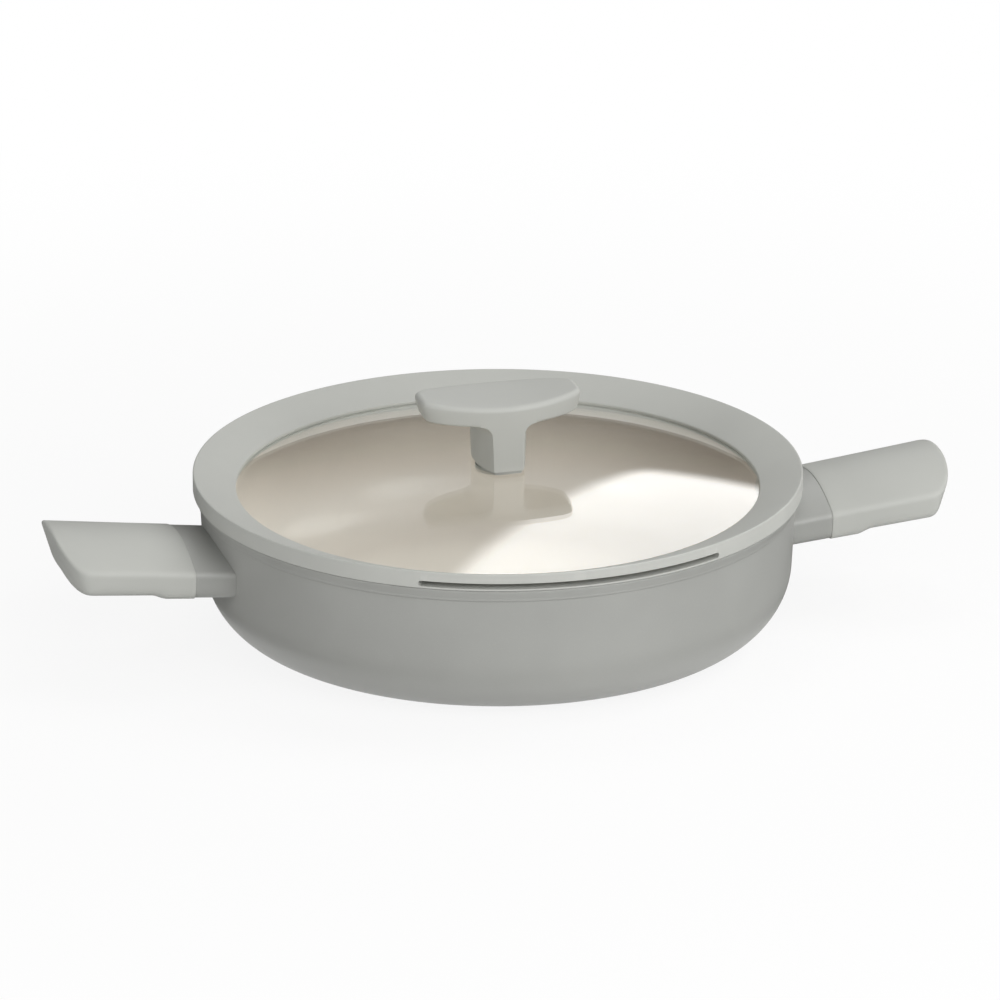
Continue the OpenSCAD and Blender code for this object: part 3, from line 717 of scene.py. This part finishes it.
def add_rim(s, glass, turns, look):
    """The lid's soft rim, with its dished top, its skirt and the pouring slit."""
    window_r = s.radius - s.width
    tuck_r = window_r + glass.tuck
    dome_r, dome_z = dome(s, glass)
    over = dome_z + sqrt(dome_r ** 2 - window_r ** 2)
    under = dome_z + sqrt((dome_r - glass.thickness) ** 2 - window_r ** 2)
    # Drop of the glass from the window's edge to its own edge.
    dome_fall = 0.0009
    lip_low = under - s.lip_t
    skirt_low = s.low_z - s.skirt_h
    skirt_in = s.skirt_r - s.skirt_t
    outline = rounded([
        (s.radius, s.low_z, 0.0005),
        (s.radius, s.top_z, 0.0012),
        (window_r, s.top_z - s.dish, 0.0006),
        (window_r, over, 0),
        (tuck_r, over - dome_fall, 0),
        (tuck_r, under - dome_fall, 0),
        (window_r, under, 0),
        (window_r, lip_low, 0.0003),
        (skirt_in, lip_low - 0.0006, 0.001),
        (skirt_in, skirt_low, 0.0008),
        (s.skirt_r - s.skirt_cut, skirt_low, 0.0008),
        (s.skirt_r, skirt_low + s.skirt_cut, 0.0006),
        (s.skirt_r, s.low_z, 0),
    ])
    touch = soft_touch("rim_soft_touch", look.soft, 1700.0, 0.56)
    rim = piece("lid_rim_soft", turned(outline, turns, True), [touch])
    # The slit is one turned cutter with a rod at each end, and both reach this far past the rim.
    past = 0.001
    slit_steps, rod_steps = 96, 24
    low, half = s.low_z + s.slit_lip, s.slit_h / 2
    out_r, turn_r, in_r = s.radius + past, s.skirt_r - s.slit_wall, skirt_in - past
    path = [
        (out_r, low), (turn_r, low), (turn_r, skirt_low - past), (in_r, skirt_low - past),
        (in_r, skirt_low + s.skirt_h / 2), (turn_r, low + s.slit_h), (out_r, low + s.slit_h),
    ]
    start = -pi / 2 - s.slit_span / 2
    cutters = [piece("slit_cut", turned([Vector(p) for p in path], slit_steps, True, start, s.slit_span))]
    rod = [Vector(p) for p in ((0, turn_r - half), (half, turn_r - half), (half, out_r), (0, out_r))]
    verts, faces = turned(rod, rod_steps, False)
    for turn in (start, start + s.slit_span):
        lift = Matrix.Translation((0, 0, low + half))
        place = Matrix.Rotation(turn, 4, "Z") @ lift @ Matrix.Rotation(pi / 2, 4, "Y")
        cutters.append(piece("slit_end_cut", ([place @ Vector(v) for v in verts], faces)))
    carve(rim, cutters)
    smooth(rim.data, SHARP_WHEN_CUT)
    fit(rim, "lid", "lid_rim", "rim_soft")


def dome(rim, glass):
    """Radius of the glass's outer sphere, and the height of its centre."""
    window_r = rim.radius - rim.width
    radius = (window_r ** 2 + glass.rise ** 2) / (2 * glass.rise)
    return radius, rim.top_z - rim.dish - rim.lip_t + glass.rise - radius


def add_glass(rim, s, turns, look):
    """The domed glass, with its ground edge inside the rim."""
    radius, height = dome(rim, s)
    clearance = 0.0002
    edge_r = rim.radius - rim.width + s.tuck - clearance
    steps = 40
    rows = [s.hole_r + (edge_r - s.hole_r) * k / steps for k in range(steps + 1)]
    top = [Vector((r, height + sqrt(radius ** 2 - r ** 2))) for r in rows]
    low = [Vector((r, height + sqrt((radius - s.thickness) ** 2 - r ** 2))) for r in reversed(rows)]
    piece(
        "lid_dome", turned(top + low, turns, True), [clear_glass("dome_glass", look.glass)],
        ("lid", "lid_glass", "lid_glass"),
    )


def quarter_turn(steps, first=0):
    """Sine and cosine of angles on the way from 0 to a right angle."""
    angles = [pi / 2 * k / steps for k in range(first, steps + 1)]
    return [(sin(a), cos(a)) for a in angles]


class KnobForm:
    """Rings of the knob's stem and paddle, with heights above its foot.

    A ring has four like quarters, each with FLANK steps along its flank and FACE steps along its face. SOFTEN
    steps round the corner between them.
    """

    FLANK, FACE, SOFTEN = 34, 10, 4
    # Powers by which the stem's points crowd to its face, an inset fades and a lift grows towards the faces.
    CROWD, FADE, LIFT = 1.5, 6, 12
    # The lift's share of the paddle's thickness, and the most of a side that a rounding takes.
    LIFT_SHARE, ROUND_SHARE = 0.06, 0.9

    def __init__(self, s):
        self.s = s
        bow = (s.width - s.end_w) / 2
        self.face_r = (s.length ** 2 / 4 + bow ** 2) / (2 * bow)
        self.foot_w = s.stem_w / 2
        self.bend_w = self.foot_w + s.stem_draft
        self.top_w = self.bend_w + s.stem_fillet
        self.corner_angle = acos((self.top_w * 2 / s.length) ** (s.squareness / 2))
        self.face_lift = s.paddle_t * self.LIFT_SHARE

    def face_y(self, x):
        """How far out the bowed face is."""
        return self.s.width / 2 - self.face_r + sqrt(self.face_r ** 2 - x ** 2)

    def end_share(self, x):
        """0 in the middle of the paddle, and 1 at its ends."""
        return (x * 2 / self.s.length) ** 2

    def low_z(self, x):
        """Height of the paddle's underside."""
        return self.s.finger_h + self.s.saddle * self.s.under_share * self.end_share(x)

    def top_z(self, x):
        """Height of the paddle's top."""
        return self.s.finger_h + self.s.paddle_t + self.s.saddle * self.end_share(x)

    def whole(self, quarter):
        """A ring from its quarter, whose stem corner is rounded."""
        flank, corner, face = quarter[:self.FLANK], quarter[self.FLANK], quarter[self.FLANK + 1:]
        back, ahead = flank[-1] - corner, face[0] - corner
        leg = min(self.s.corner, back.length * self.ROUND_SHARE, ahead.length * self.ROUND_SHARE)
        start, end = corner + back.normalized() * leg, corner + ahead.normalized() * leg
        out = flank + bend(start, corner, end, self.SOFTEN) + face
        half = out + [Vector((-p.x, p.y, p.z)) for p in reversed(out[:-1])]
        return half + [Vector((p.x, -p.y, p.z)) for p in reversed(half[1:-1])]

    def stem(self, w, z):
        """Quarter of the stem, where half its face is w wide."""
        out = []
        for k in range(self.FLANK + 1):
            t = 1 - (1 - k / self.FLANK) ** self.CROWD
            out.append(Vector((w + self.s.stem_swell * (1 - t ** 2), self.face_y(w) * t, z)))
        for k in range(1, self.FACE + 1):
            x = w * (1 - k / self.FACE)
            out.append(Vector((x, self.face_y(x), z)))
        return out

    def edge(self, k):
        """Point of the paddle's outline, from its end round to the stem's corner."""
        turn = self.corner_angle * (1 - cos(pi * k / self.FLANK)) / 2
        power = 2 / self.s.squareness
        x = self.s.length / 2 * cos(turn) ** power
        return Vector((x, self.face_y(x) * sin(turn) ** power))

    def paddle(self, inset, height, lean=0, lift=0, fades=False):
        """Quarter of the paddle at height(x), lifted at its faces. An inset may fade out towards them."""
        out = []
        for k in range(self.FLANK + 1):
            before, after = self.edge(max(k - 1, 0)), self.edge(min(k + 1, self.FLANK))
            along = (after - before).normalized() if k else Vector((0, 1))
            share = k / self.FLANK
            p = self.edge(k) - Vector((along.y, -along.x)) * inset * (1 - share ** self.FADE if fades else 1)
            x = p.x - lean * self.end_share(p.x)
            out.append(Vector((x, p.y, height(x) + lift * share ** self.LIFT)))
        for k in range(1, self.FACE + 1):
            x = self.top_w * (1 - k / self.FACE)
            out.append(Vector((x, self.face_y(x) - (0 if fades else inset), height(x) + lift)))
        return out

    def side(self, inset, rise, lean, lift):
        """Quarter of the paddle's side, a rise above its underside."""
        return self.paddle(inset, lambda x: self.low_z(x) + rise, lean, lift, True)

    def under(self, share):
        """Quarter of the underside, on its way from the stem to the paddle's edge."""
        near = self.stem(self.top_w, self.s.finger_h)
        far = self.side(self.s.low_round, 0, self.s.end_lean, 0)
        flank = [a.lerp(b, share) for a, b in zip(near[:self.FLANK], far)]
        face_z = self.s.finger_h + self.face_lift * share
        out = [Vector((p.x, p.y, self.low_z(p.x))) for p in flank]
        return out + [Vector((p.x, p.y, face_z)) for p in near[self.FLANK:]]

    def rings(self):
        """All rings, from the foot to the paddle's top."""
        s = self.s
        stem_rows, fillet_rows, under_rows, round_rows, side_rows, top_rows = 6, 10, 6, 5, 5, 8
        bend_z = s.finger_h - s.stem_fillet
        side_h = s.paddle_t - s.low_round - s.top_round
        out = []
        for k in range(stem_rows):
            out.append(self.stem(self.foot_w + s.stem_draft * k / stem_rows, bend_z * k / stem_rows))
        for sine, cosine in quarter_turn(fillet_rows):
            out.append(self.stem(self.bend_w + s.stem_fillet * (1 - cosine), bend_z + s.stem_fillet * sine))
        for k in range(1, under_rows + 1):
            out.append(self.under(k / under_rows))
        for sine, cosine in quarter_turn(round_rows, 1):
            rise = s.low_round * (1 - cosine)
            out.append(self.side(s.low_round * (1 - sine), rise, s.end_lean, self.face_lift))
        for k in range(1, side_rows):
            left = 1 - k / side_rows
            rise = s.low_round + side_h * k / side_rows
            out.append(self.side(0, rise, s.end_lean * left, self.face_lift * left))
        for sine, cosine in quarter_turn(top_rows):
            drop = s.top_round * (1 - sine)
            out.append(self.paddle(s.top_round * (1 - cosine), lambda x: self.top_z(x) - drop))
        return [self.whole(quarter) for quarter in out]


def add_knob(s, look):
    """The knob: a stem with bowed faces that swells into a long paddle."""
    verts, faces = skinned(KnobForm(s).rings())
    lifted = [Vector((v.x, v.y, v.z + s.foot_z)) for v in verts]
    piece(
        "lid_knob_soft", (lifted, faces), [soft_touch("knob_soft_touch", look.soft, 2000.0, 0.5)],
        ("lid", "lid_knob", "knob_soft"),
    )


class HandleForm:
    """Heights and sections of a handle, measured out from the grip's root.

    Half a section has CROWN, FLANK and UNDER steps along its top, flank and underside, and BEND steps round
    each edge.
    """

    CROWN, BEND, FLANK, UNDER = 14, 6, 4, 8

    def __init__(self, s, pan):
        self.s = s
        self.half = s.grip_w / 2
        self.low_half = self.half - s.flank_lean
        self.root_x = pan.wall_r + s.bracket_l
        self.crest = pan.height - pan.collar_h - s.drop + s.bracket_l * tan(s.crest_rise)
        self.under = self.crest - s.grip_h
        self.nose_u = s.grip_l - s.nose_l

    def top_z(self, u, y):
        """Height of the crowned top."""
        sag = self.s.crown + u * (tan(self.s.crest_rise) - tan(self.s.edge_rise))
        return self.crest + u * tan(self.s.crest_rise) - sag * (y / self.half) ** 2

    def under_z(self, u):
        """Height of the underside, which steps up behind the boss."""
        t = min(1.0, max(0.0, (u - self.s.boss_l) / self.s.boss_ramp))
        return self.under + u * tan(self.s.under_rise) + self.s.boss_step * t * t * (3 - 2 * t)

    def moved_in(self, p, distance):
        """A (distance out, across) point, moved towards the middle."""
        return p + Vector((min(p.x, self.nose_u) - p.x, -p.y)).normalized() * distance

    def section(self, top, low, gap=0.0):
        """A section through a top and a low edge. Its top and underside are set back by a gap."""
        def on_top(u, y):
            return Vector((u, y, self.top_z(u, y) - gap))

        top_in, low_in = self.moved_in(top, self.s.edge_round), self.moved_in(low, self.s.under_round)
        edge, foot = on_top(*top), Vector((*low, self.under_z(low.x) + gap))
        under_end = Vector((*low_in, self.under_z(low_in.x) + gap))
        flank = (foot - edge).normalized()
        start, end = edge + flank * self.s.edge_round, foot - flank * self.s.under_round
        half = [on_top(top_in.x, top_in.y * k / self.CROWN) for k in range(self.CROWN)]
        half += bend(on_top(*top_in), edge, start, self.BEND)
        half += between(start, end, self.FLANK)
        half += bend(end, foot, under_end, self.BEND)
        for k in range(1, self.UNDER + 1):
            half.append(Vector((low_in.x, low_in.y * (1 - k / self.UNDER), under_end.z)))
        both = half + [Vector((p.x, -p.y, p.z)) for p in reversed(half[1:-1])]
        return [Vector((p.x + self.root_x, p.y, p.z)) for p in both]

    def straight(self, u, gap=0.0):
        """A section before the nose, whose skin is set back by a gap."""
        return self.section(Vector((u, self.half - gap)), Vector((u, self.low_half - gap)), gap)

    def nose(self, turn):
        """A section of the nose, which starts at a right angle and ends at 0."""
        s = self.s
        along = cos(turn) ** (2 / s.squareness)
        across = sin(turn) ** (2 / s.squareness)
        low_l = s.nose_l - s.tip_lean
        return self.section(
            Vector((self.nose_u + s.nose_l * along, self.half * across)),
            Vector((self.nose_u + low_l * along, self.low_half * across)),
        )


def add_grip(side, s, form, look):
    """One moulded grip, from its softened root to the tip of its nose."""
    ramp_end = s.boss_l + s.boss_ramp
    boss_rows, ramp_rows, body_rows, nose_rows, nose_crowd = 6, 10, 8, 30, 1.6
    # Each section's distance out and set-back. The first three soften the root's edge.
    stations = [(0, 0.00035), (0.00012, 0.0001), (0.0004, 0)]
    stations += [(s.boss_l * k / boss_rows, 0) for k in range(1, boss_rows + 1)]
    stations += [(s.boss_l + s.boss_ramp * k / ramp_rows, 0) for k in range(1, ramp_rows + 1)]
    stations += [(ramp_end + (form.nose_u - ramp_end) * k / body_rows, 0) for k in range(1, body_rows)]
    rings = [form.straight(u, gap) for u, gap in stations]
    rings += [form.nose(pi / 2 * (1 - k / nose_rows) ** nose_crowd) for k in range(nose_rows + 1)]
    piece(
        side + "_grip_soft", skinned(rings, cap_last=False),
        [soft_touch("grip_soft_touch", look.soft, 1900.0, 0.54)],
        ("pan", side + "_grip", "grip_soft"), mirrored=side == "left",
    )


def add_bracket(side, s, form, pan, look):
    """One cast bracket, from just inside the wall's skin to the grip's root."""
    # The skin starts a sink inside the wall's. It is led there from a section a little behind the wall.
    sink, behind, rows = 0.0012, 0.006, 10
    collar_z = pan.height - pan.collar_h

    def on_wall(p):
        """Distance out, along X, to just inside the wall's skin."""
        radius = pan.wall_r - (collar_z - p.z) * tan(pan.wall_lean) - sink
        return sqrt(radius ** 2 - p.y ** 2)

    outer = form.straight(0, s.bracket_inset)
    inner = form.straight(-s.bracket_l - behind, s.bracket_inset)
    rings = []
    for k in range(rows + 1):
        ring = []
        for a, b in zip(inner, outer):
            share = (on_wall(b) - a.x) / (b.x - a.x)
            ring.append(a.lerp(b, share + (1 - share) * k / rows))
        rings.append(ring)
    piece(
        side + "_bracket_cast", skinned(rings, seat=on_wall),
        [coat("bracket_coat", look.coating, 0.4, 0.18)],
        ("pan", side + "_bracket", "bracket_coating"), mirrored=side == "left",
    )


# Studio


def view_axes(s):
    """The camera's right, the level direction away from it, its line of sight and its up."""
    right = Vector((cos(s.side), sin(s.side), 0))
    away = Vector((-sin(s.side), cos(s.side), 0))
    sight = away * cos(s.elevation) - Vector((0, 0, sin(s.elevation)))
    return right, away, sight, right.cross(sight)


def toward(s, side, height):
    """Direction at an angle, in degrees, from the camera's right to its line of sight, and a height angle."""
    right, away, _, _ = view_axes(s)
    a, e = radians(side), radians(height)
    return (right * cos(a) + away * sin(a)) * cos(e) + Vector((0, 0, sin(e)))


def add_camera(s):
    """The camera, at the photograph's angle of view."""
    right, _, sight, up = view_axes(s)
    across = right * cos(s.roll) - up * sin(s.roll)
    upward = right * sin(s.roll) + up * cos(s.roll)
    lens = bpy.data.cameras.new("studio_camera")
    lens.lens = s.lens
    lens.sensor_width = 36
    lens.clip_end = 60
    camera = linked("studio_camera", lens)
    spot = right * s.target_x + Vector((0, 0, s.target_z)) - sight * s.distance
    camera.matrix_world = Matrix.Translation(spot) @ Matrix((across, upward, -sight)).transposed().to_4x4()
    bpy.context.scene.camera = camera


def add_lamp(name, spot, power, in_glass):
    """A square soft light that faces the pan. One that the glass would mirror is kept out of it."""
    lamp = bpy.data.lights.new(name, "AREA")
    lamp.shape = "SQUARE"
    lamp.size = LAMP_SIZE
    lamp.energy = power
    made = linked(name, lamp)
    made.location = spot
    made.rotation_euler = (LAMP_AIM - spot).to_track_quat("-Z", "Y").to_euler()
    made.visible_camera = False
    made.visible_glossy = in_glass


def stage_piece(name, shape, material, mirrored_only=False):
    """A piece of the studio, which may show in gloss and glass alone."""
    mesh = bpy.data.meshes.new(name)
    mesh.from_pydata(shape[0], [], shape[1])
    mesh.materials.append(material)
    made = linked(name, mesh)
    if mirrored_only:
        made.visible_camera = False
        made.visible_diffuse = False
        made.visible_shadow = False
    return made


def show_mirrored(tree, strength, share=1.0):
    """Gives a tree light for rays that were mirrored on their way, and clears it for all others."""
    depth = wire(tree, "LightPath").outputs["Glossy Depth"]
    mirrored = maths(tree, "MULTIPLY", maths(tree, "GREATER_THAN", depth, 0.5), share)
    level = wire(tree, "Emission", {"Strength": strength})
    show(tree, either(tree, mirrored, wire(tree, "BsdfTransparent"), level))


def card_light(s):
    """Light of the card, which grows on its way up and fades out to the card's edges."""
    made, tree = fresh_material("card_light")
    place = wire(tree, "SeparateXYZ", {"Vector": wire(tree, "UVMap").outputs["UV"]}).outputs
    share = 1.0
    for axis, fade in zip("XY", CARD_FADE):
        for side in (place[axis], maths(tree, "SUBTRACT", 1.0, place[axis])):
            share = maths(tree, "MULTIPLY", share, spread(tree, side, 0.0, 1.0, (0.0, fade), soft=True))
    show_mirrored(tree, spread(tree, place["Y"], s.card_low, s.card_high), share)
    return made


def add_card(s):
    """The white card whose reflection lies over the right half of the glass."""
    right, away, _, _ = view_axes(s)
    low_left, low_right, high_right, high_left = (Vector(corner) for corner in CARD_CORNERS)
    row = CARD_STEPS + 1
    marks = [(i / CARD_STEPS, j / CARD_STEPS) for j in range(row) for i in range(row)]
    verts = []
    for u, v in marks:
        across, height = low_left.lerp(low_right, u).lerp(high_left.lerp(high_right, u), v)
        verts.append(right * across + away * CARD_Y + Vector((0, 0, height)))
    corners = [j * row + i for j in range(CARD_STEPS) for i in range(CARD_STEPS)]
    faces = [(a, a + 1, a + 1 + row, a + row) for a in corners]
    card = stage_piece("reflected_card", (verts, faces), card_light(s), mirrored_only=True)
    layer = card.data.uv_layers.new(name="UVMap")
    for loop, at in zip(layer.data, card.data.loops):
        loop.uv = marks[at.vertex_index]


def add_surround(s):
    """A grey surround that only gloss and glass see: dark on the floor, and paler on its way up."""
    made, tree = fresh_material("surround_grey")
    height = wire(tree, "SeparateXYZ", {"Vector": object_place(tree)}).outputs["Z"]
    show_mirrored(tree, spread(tree, height, s.flag_low, s.flag_high, SURROUND_FADE, soft=True))
    (near, far), (foot, top) = SURROUND_R, SURROUND_Z
    shape = turned([(near, foot), (far, foot), (far, top)], SURROUND_SIDES, False)
    stage_piece("grey_surround", shape, made, mirrored_only=True)


def seen_as_ground(tree):
    """1 where the camera, gloss or glass sees the ground itself, and 0 where it only lights something."""
    path = wire(tree, "LightPath").outputs
    by_glass = maths(tree, "MAXIMUM", path["Is Glossy Ray"], path["Is Transmission Ray"])
    return maths(tree, "MAXIMUM", path["Is Camera Ray"], by_glass)


def add_floor():
    """A plain pale floor, which keeps the pan's soft shadow and lets the underside show from below."""
    made, tree = fresh_material("studio_floor")
    mottle = placed(tree, GRAIN, {"Mottle Scale": 1.5})["Mottle"]
    paint = wire(tree, "BsdfPrincipled", {
        "Base Color": mixed(tree, mottle, (0.86, 0.86, 0.855, 1), (0.88, 0.88, 0.875, 1)),
        "Roughness": 0.9,
        "Specular IOR Level": 0.2,
    })
    away = wire(tree, "VectorMath", {0: object_place(tree)}, operation="LENGTH").outputs["Value"]
    fade = spread(tree, away, FLOOR_NEAR_WHITE, 1.0, FLOOR_FADE, soft=True)
    share = maths(tree, "MULTIPLY", seen_as_ground(tree), fade)
    above = either(tree, share, paint, wire(tree, "Emission"))
    below = wire(tree, "NewGeometry").outputs["Backfacing"]
    show(tree, either(tree, below, above, wire(tree, "BsdfTransparent")))
    stage_piece("studio_floor", turned([(FLOOR_R, FLOOR_Z), (0, FLOOR_Z)], FLOOR_SIDES, False), made)


def set_world(s):
    """Soft even light on the pan, and plain white where the camera, gloss or glass sees past the set."""
    world = bpy.data.worlds.new("studio_world")
    world.use_nodes = True
    tree = world.node_tree
    tree.nodes.clear()
    soft, white = (wire(tree, "Background", {"Color": WHITE, "Strength": level}) for level in (s.sky, 1.0))
    show(tree, either(tree, seen_as_ground(tree), soft, white), "OutputWorld")
    bpy.context.scene.world = world


# Operators


class SAUTE_OT_vessel(bpy.types.Operator):
    """Add the pan's coated shell and finish the steel disc in its base"""

    bl_idname = "saute_pan.vessel"
    bl_label = "Pan"
    bl_options = {"REGISTER", "UNDO"}

    def execute(self, context):
        scene = context.scene
        look = scene.saute_finish
        add_vessel(scene.saute_pan, look)
        finish_node("induction_base", turned_metal("disc_steel", look.steel, 0.34, 900.0))
        return {"FINISHED"}


class SAUTE_OT_handles(bpy.types.Operator):
    """Add both brackets and grips, and finish their fasteners"""

    bl_idname = "saute_pan.handles"
    bl_label = "Handles"
    bl_options = {"REGISTER", "UNDO"}

    def execute(self, context):
        scene = context.scene
        look = scene.saute_finish
        form = HandleForm(scene.saute_handle, scene.saute_pan)
        for side in ("left", "right"):
            add_grip(side, scene.saute_handle, form, look)
            add_bracket(side, scene.saute_handle, form, scene.saute_pan, look)
            low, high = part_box(side + "_grip_screw")
            centre = ((low[0] + high[0]) / 2, 0.0, 0.0)
            screw = turned_metal(side + "_screw_steel", look.steel, 0.28, 4000.0, centre)
            washer = turned_metal(side + "_washer_steel", look.steel, 0.36, 4000.0, centre)
            finish_node(side + "_rivets", turned_metal("rivet_steel", look.steel, 0.3, 1500.0))
            finish_node(side + "_grip_screw", screw)
            finish_node(side + "_spring_washer", washer)
        return {"FINISHED"}


class SAUTE_OT_lid_rim(bpy.types.Operator):
    """Add the lid's soft rim with its pouring slit"""

    bl_idname = "saute_pan.lid_rim"
    bl_label = "Lid rim"
    bl_options = {"REGISTER", "UNDO"}

    def execute(self, context):
        scene = context.scene
        add_rim(scene.saute_rim, scene.saute_glass, scene.saute_pan.turns, scene.saute_finish)
        return {"FINISHED"}


class SAUTE_OT_lid_glass(bpy.types.Operator):
    """Add the domed glass"""

    bl_idname = "saute_pan.lid_glass"
    bl_label = "Glass"
    bl_options = {"REGISTER", "UNDO"}

    def execute(self, context):
        scene = context.scene
        add_glass(scene.saute_rim, scene.saute_glass, scene.saute_pan.turns, scene.saute_finish)
        return {"FINISHED"}


class SAUTE_OT_lid_knob(bpy.types.Operator):
    """Add the knob, and finish the pieces that hold it on the glass"""

    bl_idname = "saute_pan.lid_knob"
    bl_label = "Knob"
    bl_options = {"REGISTER", "UNDO"}

    def execute(self, context):
        scene = context.scene
        look = scene.saute_finish
        add_knob(scene.saute_knob, look)
        seal = soft_seal("seal_silicone_skin", look.silicone)
        finish_node("knob_seal", seal)
        finish_node("glass_grommet", seal)
        finish_node("knob_insert", turned_metal("insert_brass_skin", look.brass, 0.3, 2500.0))
        finish_node("knob_washer", turned_metal("washer_steel", look.steel, 0.3, 2500.0))
        finish_node("knob_screw", turned_metal("screw_steel", look.steel, 0.26, 3500.0))
        return {"FINISHED"}


class SAUTE_OT_studio(bpy.types.Operator):
    """Add the floor, the lights, the world and the camera"""

    bl_idname = "saute_pan.studio"
    bl_label = "Studio"
    bl_options = {"REGISTER", "UNDO"}

    def execute(self, context):
        s = context.scene.saute_studio
        add_floor()
        add_card(s)
        add_surround(s)
        for name, side, height, watts, in_glass in LAMPS:
            add_lamp(name, toward(s, side, height) * LAMP_REACH, watts * s.light, in_glass)
        set_world(s)
        add_camera(s)
        context.scene.view_settings.view_transform = "Standard"
        return {"FINISHED"}


class SAUTE_PT_panel(bpy.types.Panel):
    """Lists the pieces of the saute pan"""

    bl_idname = "SAUTE_PT_panel"
    bl_label = "Saute Pan"
    bl_space_type = "VIEW_3D"
    bl_region_type = "UI"
    bl_category = "Saute Pan"

    def draw(self, context):
        for operator in OPERATORS:
            self.layout.operator(operator.bl_idname)
        for name in SETTINGS:
            box = self.layout.box()
            box.label(text=SETTINGS[name].__doc__)
            group = getattr(context.scene, name)
            for key in SETTINGS[name].__annotations__:
                box.prop(group, key)


SETTINGS = {
    "saute_pan": PanSettings,
    "saute_rim": RimSettings,
    "saute_glass": GlassSettings,
    "saute_knob": KnobSettings,
    "saute_handle": HandleSettings,
    "saute_finish": FinishSettings,
    "saute_studio": StudioSettings,
}
OPERATORS = (
    SAUTE_OT_studio,
    SAUTE_OT_vessel,
    SAUTE_OT_handles,
    SAUTE_OT_lid_rim,
    SAUTE_OT_lid_glass,
    SAUTE_OT_lid_knob,
)


def register():
    for made in (*SETTINGS.values(), *OPERATORS, SAUTE_PT_panel):
        bpy.utils.register_class(made)
    for name, group in SETTINGS.items():
        setattr(bpy.types.Scene, name, PointerProperty(type=group))


def unregister():
    for name in SETTINGS:
        delattr(bpy.types.Scene, name)
    for made in (SAUTE_PT_panel, *reversed(OPERATORS), *reversed(SETTINGS.values())):
        bpy.utils.unregister_class(made)


def main():
    register()
    bpy.ops.saute_pan.studio()
    bpy.ops.saute_pan.vessel()
    bpy.ops.saute_pan.handles()
    bpy.ops.saute_pan.lid_rim()
    bpy.ops.saute_pan.lid_glass()
    bpy.ops.saute_pan.lid_knob()


if __name__ == "__main__":
    main()
